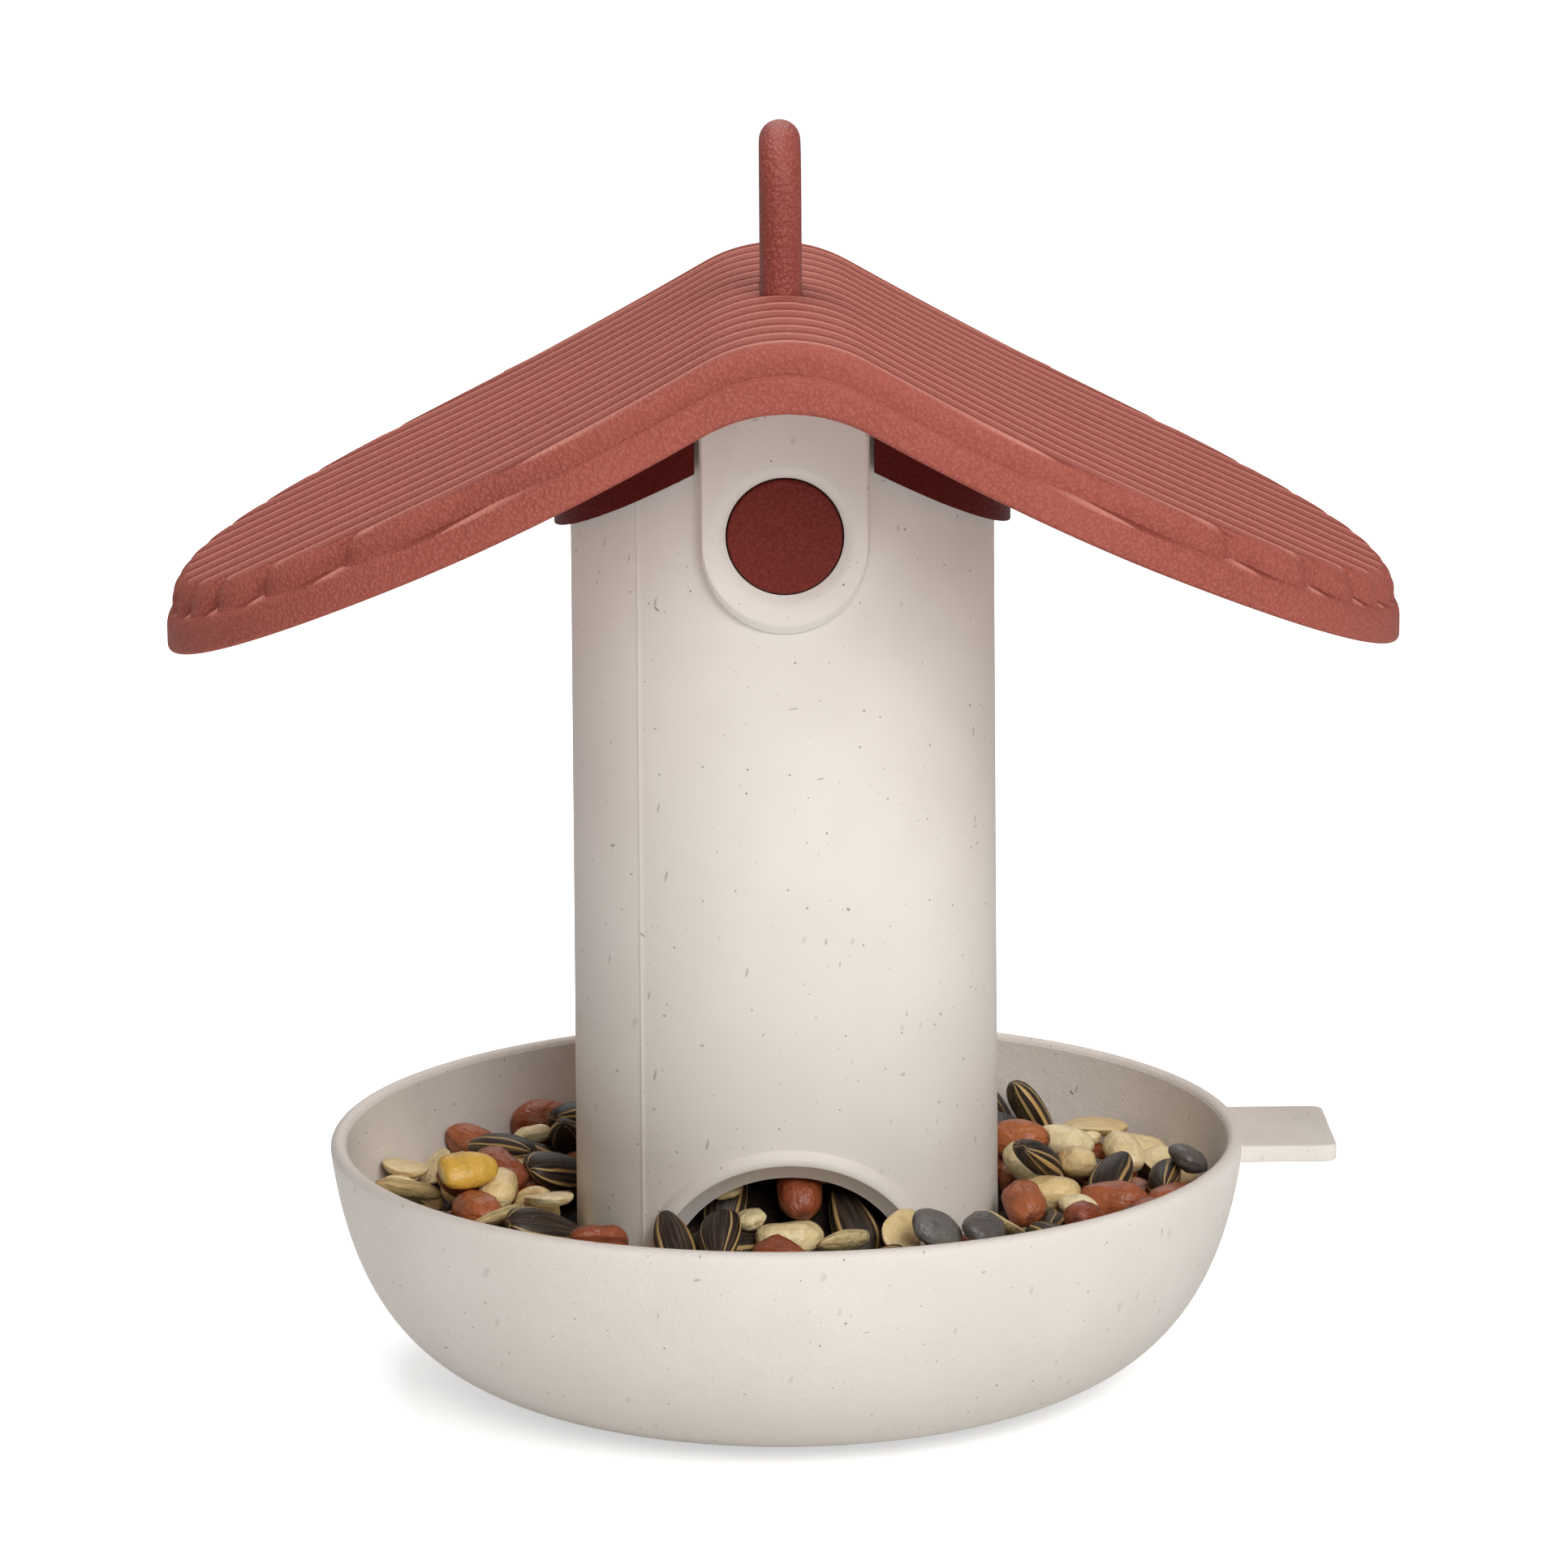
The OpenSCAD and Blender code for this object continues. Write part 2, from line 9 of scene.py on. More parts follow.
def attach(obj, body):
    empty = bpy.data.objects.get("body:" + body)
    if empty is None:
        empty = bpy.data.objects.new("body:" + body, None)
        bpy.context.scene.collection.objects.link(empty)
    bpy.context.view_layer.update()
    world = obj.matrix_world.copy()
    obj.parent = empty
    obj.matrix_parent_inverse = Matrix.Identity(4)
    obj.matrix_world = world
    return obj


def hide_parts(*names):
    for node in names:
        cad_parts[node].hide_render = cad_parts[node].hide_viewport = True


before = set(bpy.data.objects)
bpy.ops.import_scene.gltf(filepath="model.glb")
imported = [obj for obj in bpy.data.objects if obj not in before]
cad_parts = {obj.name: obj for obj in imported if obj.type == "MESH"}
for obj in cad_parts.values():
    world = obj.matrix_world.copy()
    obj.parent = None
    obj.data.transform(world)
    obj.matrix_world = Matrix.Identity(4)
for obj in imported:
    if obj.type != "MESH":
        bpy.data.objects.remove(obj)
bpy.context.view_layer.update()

# Sizes, in millimetres in the part's frame
MM = 0.001
BOWL_D, BOWL_H, BASE_D, BOWL_WALL = 180.6, 49.0, 83.0, 3.2
SIDE_PULL, BASE_PULL, SIDE_LEAN = 34.0, 29.0, 4.0
TAB_REACH, TAB_W, TAB_T, TAB_CORNER_R, TAB_DROP = 17.5, 31.0, 3.4, 2.5, 0.6
TUBE_FOOT_D, TUBE_TOP_D, TUBE_WALL = 84.0, 81.8, 2.4
TUBE_Z, TUBE_TOP_DROP = BOWL_WALL, 6.8
ARCH_W, ARCH_TOP, LIP_W, LIP_T, LIP_CHAMFER = 53.0, 52.6, 2.9, 1.2, 3.0
BUTTON_Z, BUTTON_D, BUTTON_GAP, BUTTON_INSET = 174.3, 21.6, 0.3, 0.2
DISH_W, DISH_T = 2.2, 0.9
PAD_W, PAD_PROUD, PAD_WALL, PAD_BEVEL, PAD_DRAFT, PAD_DROP = 31.0, 2.4, 2.4, 1.6, 0.4, 1.4
LEG_W, LEG_T, LEG_GAP, LEG_ROOT_R = 12.0, 2.0, 0.3, 1.5
ROOT_Z, ROOT_GAP = 207.19, 0.2
ROOF_W, ROOF_DEPTH, ROOF_POWER, RIDGE_Z = 241.0, 180.0, 2.5, 216.0
CROWN_R, TOP_SLOPE, EAVE_SLOPE, EASE_FROM, EASE_TO = 30.0, 29.2, 24.5, 20.0, 70.0
RIB_COUNT, RIB_PITCH, GROOVE_W, RIB_H = 14, 11.53, 1.3, 0.9
DECK_T, FASCIA_H, FASCIA_WALL, LEDGE_DROP, LEDGE_W = 2.4, 12.4, 2.4, 5.4, 2.6
SHOULDER_R = 3.0
LOOP_BAR_D, LOOP_W, LOOP_H = 8.0, 26.0, 32.4
CHANNEL_DEPTH = 10.0
POST_X, POST_Y, POST_R, POST_EDGE, POST_DROP = 26, 20, 2, 0.4, 7.5
FLANGE_PROUD, FLANGE_T = 4, 1.6
UNDER_ROOF, OVER_ROOF = 100, 300

BOWL_R, BASE_R, RIM_R = BOWL_D / 2, BASE_D / 2, BOWL_WALL / 2
TUBE_TOP_Z = RIDGE_Z - TUBE_TOP_DROP
ARCH_R = ARCH_W / 2
ARCH_Z = ARCH_TOP - ARCH_R
PAD_R, PAD_Z = PAD_W / 2, BUTTON_Z - PAD_DROP
LOOP_BAR_R = LOOP_BAR_D / 2
LOOP_BEND_R = LOOP_W / 2 - LOOP_BAR_R
LOOP_BEND_Z = RIDGE_Z + LOOP_H - LOOP_BAR_R - LOOP_BEND_R


def tube_out(z):
    share = (z - TUBE_Z) / (TUBE_TOP_Z - TUBE_Z)
    return (TUBE_FOOT_D + (TUBE_TOP_D - TUBE_FOOT_D) * share) / 2


PAD_Y = tube_out(BUTTON_Z) + PAD_PROUD
PAD_INNER_Y = PAD_Y - PAD_WALL
BUTTON_Y = PAD_Y - BUTTON_INSET
LEG_Y = PAD_INNER_Y - LEG_GAP
ROOT_Y = PAD_INNER_Y - ROOT_GAP - LEG_ROOT_R


def side_point(t):
    """(radius, height) on the bowl's outer side, from 0 at the rim to 1 at the base."""
    corners = [
        (BOWL_R, BOWL_H - RIM_R),
        (BOWL_R - SIDE_LEAN, BOWL_H - RIM_R - SIDE_PULL),
        (BASE_R + BASE_PULL, 0),
        (BASE_R, 0),
    ]
    weights = [(1 - t) ** 3, 3 * t * (1 - t) ** 2, 3 * t * t * (1 - t), t ** 3]
    return np.array(weights) @ np.array(corners)


def side_inner(t):
    """(radius, height) on the bowl's inner side, one wall in from side_point(t)."""
    run = side_point(min(1, t + 0.001)) - side_point(max(0, t - 0.001))
    return side_point(t) + BOWL_WALL * np.array([run[1], -run[0]]) / np.linalg.norm(run)


def fall(x):
    """Fall of the roof's surface from the ridge at distance x from it."""
    a = abs(x)
    steep, flat = tan(radians(TOP_SLOPE)), tan(radians(EAVE_SLOPE))
    crown_x = CROWN_R * sin(radians(TOP_SLOPE))
    if a < crown_x:
        return CROWN_R - sqrt(CROWN_R ** 2 - a * a)
    crown_fall = CROWN_R * (1 - cos(radians(TOP_SLOPE)))
    eased = min(max(a - EASE_FROM, 0), EASE_TO - EASE_FROM)
    rate = (steep - flat) / (2 * (EASE_TO - EASE_FROM))
    straight = crown_fall + steep * (min(a, EASE_TO) - crown_x) - rate * eased ** 2
    return straight + flat * max(a - EASE_TO, 0)


def roof_z(x, drop):
    return RIDGE_Z - fall(x) - drop


def oval_reach(place, half_along, half_across):
    """Half of an oval's width at a place on its other axis."""
    share = min(abs(place) / half_along, 1)
    return half_across * (1 - share ** ROOF_POWER) ** (1 / ROOF_POWER)


def outline_x(y, inset):
    """Half of the roof's width at y, on the oval that lies inset in from its outline."""
    return oval_reach(y, ROOF_DEPTH / 2 - inset, ROOF_W / 2 - inset)


def outline_y(x, inset):
    """Half of the roof's depth at x, on the same oval."""
    return oval_reach(x, ROOF_W / 2 - inset, ROOF_DEPTH / 2 - inset)


def oval_point(a, half_w, half_depth):
    """Point of an oval like the roof's, at angle a."""
    c, s = cos(a), sin(a)
    x = half_w * copysign(abs(c) ** (2 / ROOF_POWER), c)
    y = half_depth * copysign(abs(s) ** (2 / ROOF_POWER), s)
    return x, y


def circle(steps):
    return [2 * pi * i / steps for i in range(steps)]


def arc(cx, cy, r, start, end, steps):
    """Points on an arc, with its angles in degrees."""
    turns = [radians(start + (end - start) * i / steps) for i in range(steps + 1)]
    return [(cx + r * cos(a), cy + r * sin(a)) for a in turns]


# Mesh making

WELD, SEED_WELD = 1e-7, 2e-6


def add_object(name, data):
    """New object in the scene."""
    made = bpy.data.objects.new(name, data)
    bpy.context.scene.collection.objects.link(made)
    return made


def weld(mesh, distance):
    """Merges points within a distance in metres, and turns the faces outwards."""
    work = bmesh.new()
    work.from_mesh(mesh)
    bmesh.ops.remove_doubles(work, verts=work.verts, dist=distance)
    bmesh.ops.recalc_face_normals(work, faces=work.faces)
    work.to_mesh(mesh)
    work.free()


def make_object(name, points, faces):
    """Welded object with points in millimetres."""
    mesh = bpy.data.meshes.new(name)
    mesh.from_pydata([tuple(float(c) * MM for c in p) for p in points], [], faces)
    weld(mesh, WELD)
    return add_object(name, mesh)


def band(low, high, size):
    """Faces between two rings of points that start at the numbers low and high."""
    pairs = [(j, (j + 1) % size) for j in range(size)]
    return [(low + j, low + k, high + k, high + j) for j, k in pairs]


def loft(name, rings, wrap=False):
    """Skin over closed rings of one point count, capped at its ends or joined to itself."""
    count, size = len(rings), len(rings[0])
    points = [p for ring in rings for p in ring]
    faces = []
    for i in range(count if wrap else count - 1):
        faces += band(i * size, (i + 1) % count * size, size)
    if not wrap:
        faces.append(tuple(range(size)))
        faces.append(tuple(range((count - 1) * size, count * size)))
    return make_object(name, points, faces)


def lathe(name, profile, steps=128):
    """Closed (radius, height) profile turned round the Z axis."""
    rings = [[(r * cos(a), r * sin(a), z) for r, z in profile] for a in circle(steps)]
    return loft(name, rings, wrap=True)


def prism(name, outline, low, high, upright=False):
    """Outline of pairs, extruded from low to high along Y, or along Z where it is upright."""
    rings = [[(u, v, w) if upright else (u, w, v) for u, v in outline] for w in (low, high)]
    return loft(name, rings)


def to_front(made, z):
    """Turns a lathed piece so that its axis points to the front, at height z."""
    lift = Matrix.Translation((0, 0, z * MM))
    made.data.transform(lift @ Matrix.Rotation(pi / 2, 4, "X"))
    return made


def half_turn(made):
    """Copy of a piece, turned to the rear."""
    copy = add_object(made.name, made.data.copy())
    copy.data.transform(Matrix.Rotation(pi, 4, "Z"))
    return copy


def combine(target, tools, operation):
    """Joins the tools to the target, or cuts them from it, and removes them."""
    for tool in tools:
        step = target.modifiers.new("step", "BOOLEAN")
        step.object = tool
        step.operation = operation
        step.solver = "MANIFOLD"
        before = target.data
        graph = bpy.context.evaluated_depsgraph_get()
        target.data = bpy.data.meshes.new_from_object(target.evaluated_get(graph))
        target.modifiers.clear()
        bpy.data.meshes.remove(before)
        bpy.data.objects.remove(tool)
    return target


def finish_mesh(made, name, material, body, replaced=(), sharp=28):
    """Smooth shading with sharp edges above an angle, one material, and the body it rides on."""
    made.name = name
    made.data.name = name
    made.data.materials.clear()
    made.data.materials.append(material)
    for face in made.data.polygons:
        face.use_smooth = True
    made.data.set_sharp_from_angle(angle=radians(sharp))
    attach(made, body)
    if replaced:
        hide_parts(*replaced)
    return made


# Materials

def add(tree, kind, inputs=(), **settings):
    """New shader node. An input is a value or another node's output."""
    made = tree.nodes.new("ShaderNode" + kind)
    for key, value in settings.items():
        setattr(made, key, value)
    for key, value in dict(inputs).items():
        if isinstance(value, bpy.types.NodeSocket):
            tree.links.new(value, made.inputs[key])
        else:
            made.inputs[key].default_value = value
    return made


def maths(tree, operation, *values):
    return add(tree, "Math", enumerate(values), operation=operation).outputs[0]


def times(tree, first, second):
    return maths(tree, "MULTIPLY", first, second)


def ramp(tree, value, low, high, to_low=0.0, to_high=1.0, smooth=True):
    """Maps value from low..high to to_low..to_high."""
    inputs = {0: value, 1: low, 2: high, 3: to_low, 4: to_high}
    kind = "SMOOTHSTEP" if smooth else "LINEAR"
    return add(tree, "MapRange", inputs, interpolation_type=kind).outputs[0]


def mix(tree, share, first, second):
    """Colour between first and second."""
    ends = [c if isinstance(c, bpy.types.NodeSocket) else (*c, 1) for c in (first, second)]
    return add(tree, "Mix", {0: share, 6: ends[0], 7: ends[1]}, data_type="RGBA").outputs[2]


def noise(tree, position, size, detail=2.0, rough=0.5):
    """Noise with features of a size in millimetres."""
    inputs = {"Vector": position, "Scale": 1 / (size * MM), "Detail": detail, "Roughness": rough}
    return add(tree, "TexNoise", inputs).outputs["Fac"]


def new_material(name):
    """Material, its empty node tree, and the place on the object."""
    material = bpy.data.materials.new(name)
    material.use_nodes = True
    tree = material.node_tree
    tree.nodes.clear()
    position = add(tree, "TexCoord").outputs["Object"]
    return material, tree, position


def close_material(tree, colour, roughness, heights, specular):
    """Principled shader with bumps, each a (height, depth in millimetres) pair."""
    bumped = {}
    for height, depth in heights:
        inputs = {"Height": height, "Distance": depth * MM, "Strength": 1.0, **bumped}
        bumped = {"Normal": add(tree, "Bump", inputs).outputs[0]}
    inputs = {"Base Color": colour, "Roughness": roughness, "Specular IOR Level": specular}
    shader = add(tree, "BsdfPrincipled", {**inputs, **bumped})
    add(tree, "OutputMaterial", {"Surface": shader.outputs[0]})


def flecks(tree, position, cell, stretch, size, keep, turn):
    """Mask of fibres: one in each kept cell, drawn out by stretch along an axis turned by turn."""
    scale = (cell * MM, cell * MM, cell * stretch * MM)
    inputs = {"Vector": position, "Rotation": [radians(a) for a in turn], "Scale": scale}
    place = add(tree, "Mapping", inputs, vector_type="TEXTURE").outputs[0]
    cells = add(tree, "TexVoronoi", {"Vector": place, "Scale": 1.0})
    chance = add(tree, "SeparateColor", {0: cells.outputs["Color"]}).outputs[0]
    radius = ramp(tree, chance, 1 - keep, 1, 0, size, smooth=False)
    inside = maths(tree, "SUBTRACT", radius, cells.outputs["Distance"])
    return ramp(tree, inside, 0, size * 0.3)


def speckled_plastic(name, sand_depth, sand_size):
    """Warm off-white plastic with sparse dark fibres and a moulded sand texture."""
    material, tree, position = new_material(name)
    cloud = noise(tree, position, 26, 3)
    base = mix(tree, ramp(tree, cloud, 0.3, 0.7), (0.755, 0.70, 0.635), (0.795, 0.742, 0.68))
    # Cell size in mm, stretch, fibre size and share of cells kept, strength and turns in degrees
    layers = [
        (4.6, 2.4, 0.17, 0.60, 0.16, (35, 10, 20)),
        (2.9, 4.2, 0.13, 0.50, 0.40, (12, 8, 0)),
        (2.9, 4.2, 0.13, 0.50, 0.40, (8, 78, 10)),
        (3.1, 3.4, 0.11, 0.40, 0.60, (78, 12, 20)),
        (2.7, 3.0, 0.12, 0.34, 0.66, (-50, 35, 80)),
        (1.8, 1.2, 0.14, 0.34, 0.72, (10, 25, 60)),
        (1.3, 1.1, 0.13, 0.22, 0.60, (40, 5, 15)),
    ]
    for cell, stretch, size, keep, depth, turn in layers:
        mask = flecks(tree, position, cell, stretch, size, keep, turn)
        base = mix(tree, times(tree, mask, depth), base, (0.13, 0.115, 0.10))
    sand = noise(tree, position, sand_size, 2.5, 0.6)
    swell = noise(tree, position, sand_size * 5, 1)
    rough = ramp(tree, sand, 0.3, 0.7, 0.52, 0.66)
    close_material(tree, base, rough, [(swell, sand_depth * 0.8), (sand, sand_depth)], 0.22)
    return material


def painted_rib_light(tree, position, base):
    """Painted highlight on each rib's rear edge, standing in for the reflection it catches, and
    painted shade towards the groove ahead, on the tops only.
    """
    y = add(tree, "SeparateXYZ", {0: position}).outputs[1]
    normal = add(tree, "NewGeometry").outputs["True Normal"]
    upward = ramp(tree, add(tree, "SeparateXYZ", {0: normal}).outputs[2], 0.62, 0.8)
    across = maths(tree, "FRACT", times(tree, y, -1 / (RIB_PITCH * MM)))
    # Painted highlight: a pale band along each rib's rear edge, standing in for reflected light
    painted_highlight = times(tree, ramp(tree, across, 0.05, 0.08), ramp(tree, across, 0.14, 0.42, 1, 0))
    # Painted shade towards the groove ahead of each rib and just behind its rear edge
    behind, ahead = ramp(tree, across, 0.03, 0.06, 1, 0), ramp(tree, across, 0.66, 0.90)
    shade = maths(tree, "MAXIMUM", ahead, behind)
    # Painted highlight colour, then painted shade colour, on the upward faces
    base = mix(tree, times(tree, times(tree, painted_highlight, upward), 0.75), base, (0.66, 0.27, 0.21))
    return mix(tree, times(tree, times(tree, shade, upward), 0.62), base, (0.17, 0.03, 0.022))


def leather_plastic(
        name, colour, light, grain_size, grain_depth, roughness, specular, ribbed=False):
    """Brick red plastic with a moulded leather grain, its raised pebbles painted paler as painted
    highlight, the hollows left darker as painted shade.
    """
    material, tree, position = new_material(name)
    inputs = {"Vector": position, "Scale": 1 / (grain_size * 1.6 * MM), "Detail": 1.5}
    drift = add(tree, "TexNoise", inputs).outputs["Color"]
    inputs = {0: grain_size * 0.45 * MM, 4: position, 5: drift}
    bent = add(tree, "Mix", inputs, data_type="VECTOR").outputs[1]
    inputs = {"Vector": bent, "Scale": 1 / (grain_size * MM)}
    pebbles = add(tree, "TexVoronoi", inputs).outputs["Distance"]
    fine = noise(tree, position, grain_size * 0.42, 2)
    height = maths(tree, "ADD", times(tree, pebbles, -0.8), times(tree, fine, 0.6))
    cloud = noise(tree, position, 30, 3)
    base = mix(tree, ramp(tree, cloud, 0.3, 0.7), colour, [c * 1.12 for c in colour])
    # Painted highlight on the raised pebbles, painted shade in the hollows between them
    base = mix(tree, ramp(tree, height, -0.25, 0.25), base, light)
    # On the roof: painted highlight and painted shade along the ribs
    if ribbed:
        base = painted_rib_light(tree, position, base)
    rough = ramp(tree, fine, 0.3, 0.7, roughness, roughness + 0.12)
    close_material(tree, base, rough, [(height, grain_depth)], specular)
    return material


def seed_attribute(tree):
    """The seed's own attribute, and its shares along it, round it and at random."""
    values = add(tree, "Attribute", attribute_name="seed").outputs["Vector"]
    return values, add(tree, "SeparateXYZ", {0: values}).outputs


def seed_noise(tree, values, counts, detail):
    """Noise over the seed's own attribute, with a count of features along each share."""
    inputs = {0: values, 1: counts}
    place = add(tree, "VectorMath", inputs, operation="MULTIPLY").outputs[0]
    inputs = {"Vector": place, "Scale": 1.0, "Detail": detail}
    return add(tree, "TexNoise", inputs).outputs["Fac"]


def husk_material():
    """Black-brown sunflower husk with two pale stripes on each face and pale edges."""
    material, tree, position = new_material("striped_husk")
    values, shares = seed_attribute(tree)
    chance = shares[2]
    streaks = seed_noise(tree, values, (2.5, 46, 90), 3)
    dark = mix(tree, ramp(tree, streaks, 0.38, 0.75), (0.009, 0.005, 0.003), (0.085, 0.052, 0.030))
    wander = maths(tree, "SUBTRACT", seed_noise(tree, values, (3.5, 0, 70), 1), 0.5)
    turned = maths(tree, "SUBTRACT", maths(tree, "FRACT", times(tree, shares[1], 2)), 0.5)
    face = maths(tree, "ADD", maths(tree, "ABSOLUTE", turned), times(tree, wander, 0.09))
    stripe_at = ramp(tree, chance, 0, 1, 0.22, 0.32, smooth=False)
    again = maths(tree, "FRACT", times(tree, chance, 7.3))
    width = ramp(tree, again, 0, 1, 0.018, 0.05, smooth=False)
    off = maths(tree, "ABSOLUTE", maths(tree, "SUBTRACT", face, stripe_at))
    stripe = ramp(tree, maths(tree, "SUBTRACT", width, off), 0, 0.016)
    edge = ramp(tree, face, 0.44, 0.462)
    both = maths(tree, "MAXIMUM", times(tree, stripe, 0.7), edge)
    pale = mix(tree, ramp(tree, streaks, 0.35, 0.7), (0.50, 0.29, 0.09), (0.74, 0.52, 0.22))
    colour = mix(tree, both, dark, pale)
    dust = flecks(tree, position, 1.15, 1.0, 0.15, 0.4, (0, 0, 0))
    colour = mix(tree, times(tree, dust, 0.6), colour, (0.6, 0.52, 0.42))
    close_material(tree, colour, 0.5, [(streaks, 0.12)], 0.45)
    return material


def kernel_material(name, first, second, spot, wrinkle):
    """Nut or grain: two tones by seed, mottled, with darker spots and fine wrinkles."""
    material, tree, position = new_material(name)
    values, shares = seed_attribute(tree)
    tone = mix(tree, shares[2], first, second)
    mottle = noise(tree, position, 2.6, 3)
    tone = mix(tree, ramp(tree, mottle, 0.45, 0.72, 0, 0.45), tone, [c * 0.62 for c in first])
    from_middle = maths(tree, "ABSOLUTE", maths(tree, "SUBTRACT", shares[0], 0.5))
    tone = mix(tree, ramp(tree, from_middle, 0.36, 0.5, 0, 0.7), tone, spot)
    spots = flecks(tree, position, 1.9, 1.5, 0.16, 0.4, (30, 10, 0))
    tone = mix(tree, times(tree, spots, 0.6), tone, spot)
    creases = seed_noise(tree, values, (4, 16, 60), 3)
    dents = noise(tree, position, 1.6, 2)
    close_material(tree, tone, 0.40, [(creases, wrinkle), (dents, 0.45), (mottle, 0.1)], 0.5)
    return material


tube_plastic = speckled_plastic("speckled_white_tube", sand_depth=0.012, sand_size=0.5)
bowl_plastic = speckled_plastic("speckled_white_bowl", sand_depth=0.13, sand_size=0.6)
# Base colour, paler colour painted on the raised pebbles as highlight, grain size and depth in mm,
# roughness and specular level, and for the roof painted light along the ribs
roof_plastic = leather_plastic(
    "terracotta_roof", (0.32, 0.080, 0.058), (0.425, 0.121, 0.092), 0.75, 0.30, 0.55, 0.10, True)
loop_plastic = leather_plastic(
    "terracotta_loop", (0.27, 0.053, 0.038), (0.37, 0.088, 0.066), 0.8, 0.30, 0.38, 0.35)
button_plastic = leather_plastic(
    "dark_terracotta_button", (0.145, 0.014, 0.008), (0.195, 0.028, 0.018), 0.75, 0.22, 0.45, 0.2)
# Same red as the roof, darkened as painted shade for the roof's shadow the collar sits in
collar_painted_shade_plastic = leather_plastic(
    "terracotta_collar_painted_shade", (0.085, 0.005, 0.003), (0.105, 0.008, 0.005), 0.75, 0.10, 0.45, 0.12)


# Bowl with its perch tab

def make_bowl():
    steps = 36
    outer = [side_point(1 - i / steps) for i in range(steps + 1)]
    inner = [side_inner(i / steps) for i in range(steps + 1)]
    rim = arc(BOWL_R - RIM_R, BOWL_H - RIM_R, RIM_R, 0, 180, 12)[1:-1]
    foot = [(0, 0), (BASE_R - 1, 0)]
    profile = foot + [tuple(p) for p in outer] + rim + [tuple(p) for p in inner]
    return lathe("bowl_wall", profile + [(0, BOWL_WALL)], 192)


def tab_outline(shrink):
    """Rounded outline of the tab, seen from above, drawn in by shrink."""
    x, half, r = BOWL_R + TAB_REACH, TAB_W / 2 - shrink, TAB_CORNER_R
    start_x = BOWL_R - RIM_R
    right = arc(x - r, half + shrink - r, r - shrink, 0, 90, 8)
    left = arc(x - r, r - half - shrink, r - shrink, -90, 0, 8)
    return [(start_x, -half)] + left + right + [(start_x, half)]


def make_tab():
    top, edge = BOWL_H - TAB_DROP, 0.5
    rings = []
    for angle in (-90, -60, -30, 0, 0.1, 30, 60, 90):
        shrink = edge * (1 - cos(radians(angle)))
        centre = top - edge if angle > 0 else top - TAB_T + edge
        z = centre + edge * sin(radians(angle))
        rings.append([(u, v, z) for u, v in tab_outline(shrink)])
    return loft("tab", rings)


bowl = combine(make_bowl(), [make_tab()], "UNION")
finish_mesh(bowl, "speckled_bowl", bowl_plastic, "base", ["bowl"])


# Seed tube

PARTING_ANGLE, PARTING_W, PARTING_T = 42.5, 0.35, 0.10
TUBE_STEPS, CUT_PAST = 256, 5


def make_tube_wall():
    """Tapered wall with two faint parting lines: front left, and opposite it at the rear."""
    full = 2 * pi
    near = PARTING_W / TUBE_FOOT_D * 2
    seams = [radians(a - PARTING_ANGLE) % full for a in (-90, 90)]
    angles = circle(TUBE_STEPS)
    for seam in seams:
        angles = [a for a in angles if abs(remainder(a - seam, full)) > 1.5 * near]
        angles += [seam + near * share for share in (-1, -0.3, 0.3, 1)]
    heights = [TUBE_Z, 40, 100, 150, RIDGE_Z]
    rings = []
    for a in sorted(angles):
        swell = PARTING_T if any(abs(a - seam) < near / 2 for seam in seams) else 0
        outer = [(tube_out(z) + swell, z) for z in heights]
        inner = [(tube_out(z) - TUBE_WALL, z) for z in reversed(heights)]
        rings.append([(r * cos(a), r * sin(a), z) for r, z in outer + inner])
    return loft("tube_wall", rings, wrap=True)


def arch_outline(grow, foot_z):
    """Outline of an arch in (x, z), from its left foot over the top to its right foot."""
    r = ARCH_R + grow
    sides = [foot_z + (ARCH_Z - foot_z) * i / 8 for i in range(8)]
    left = [(-r, z) for z in sides]
    right = [(r, z) for z in reversed(sides)]
    return left + [(-u, v) for u, v in arc(0, ARCH_Z, r, 0, 180, 72)] + right


def make_arch_cut():
    return prism("arch", arch_outline(1.0, -2), -BOWL_R, BOWL_R)


def make_arch_lip():
    """Raised lip round the front arch, chamfered towards the opening."""
    # Distance out from the opening, and how proud of the tube
    section = [
        (LIP_W + 0.2, -1.4), (LIP_W, 0.0), (LIP_W - 0.35, 0.35), (LIP_W - 0.9, 0.85),
        (LIP_W - 1.5, 1.12), (1.0, LIP_T), (0.45, LIP_T), (0.12, LIP_T - 0.12),
        (-0.1, LIP_T - 0.4), (-LIP_CHAMFER + 0.3, -1.9), (-LIP_CHAMFER, -2.15),
        (-LIP_CHAMFER + 0.1, -2.3), (1.6, -2.3),
    ]
    loops = []
    for grow, proud in section:
        outline = arch_outline(grow, TUBE_Z + 0.05)
        loops.append([(x, -sqrt((tube_out(z) + proud) ** 2 - x * x), z) for x, z in outline])
    return loft("arch_lip", list(zip(*loops)))


def pad_outline(share, inset, top_z):
    """Outline of a pad in (x, z): straight sides, round lower end, and a share of its flare."""
    points = [(-PAD_R - share * PAD_DRAFT + inset, top_z)]
    for i in range(65):
        a = pi * (1 + i / 64)
        flare = PAD_DRAFT + (PAD_BEVEL - PAD_DRAFT) * sin(a) ** 2
        r = PAD_R + share * flare - inset
        points.append((r * cos(a), PAD_Z + r * sin(a)))
    return points + [(PAD_R + share * PAD_DRAFT - inset, top_z)]


def make_pad():
    foot_y = PAD_Y - PAD_BEVEL
    # Share of the flare, inset and y
    levels = [
        (1, 0, PAD_INNER_Y - CHANNEL_DEPTH + 3), (1, 0, foot_y), (0.22, 0, PAD_Y - 0.45),
        (0.08, 0.04, PAD_Y - 0.22), (0, 0.2, PAD_Y - 0.05), (0, 0.5, PAD_Y),
    ]
    rings = []
    for share, inset, y in levels:
        rings.append([(x, -y, z) for x, z in pad_outline(share, inset, RIDGE_Z)])
    return loft("pad", rings)


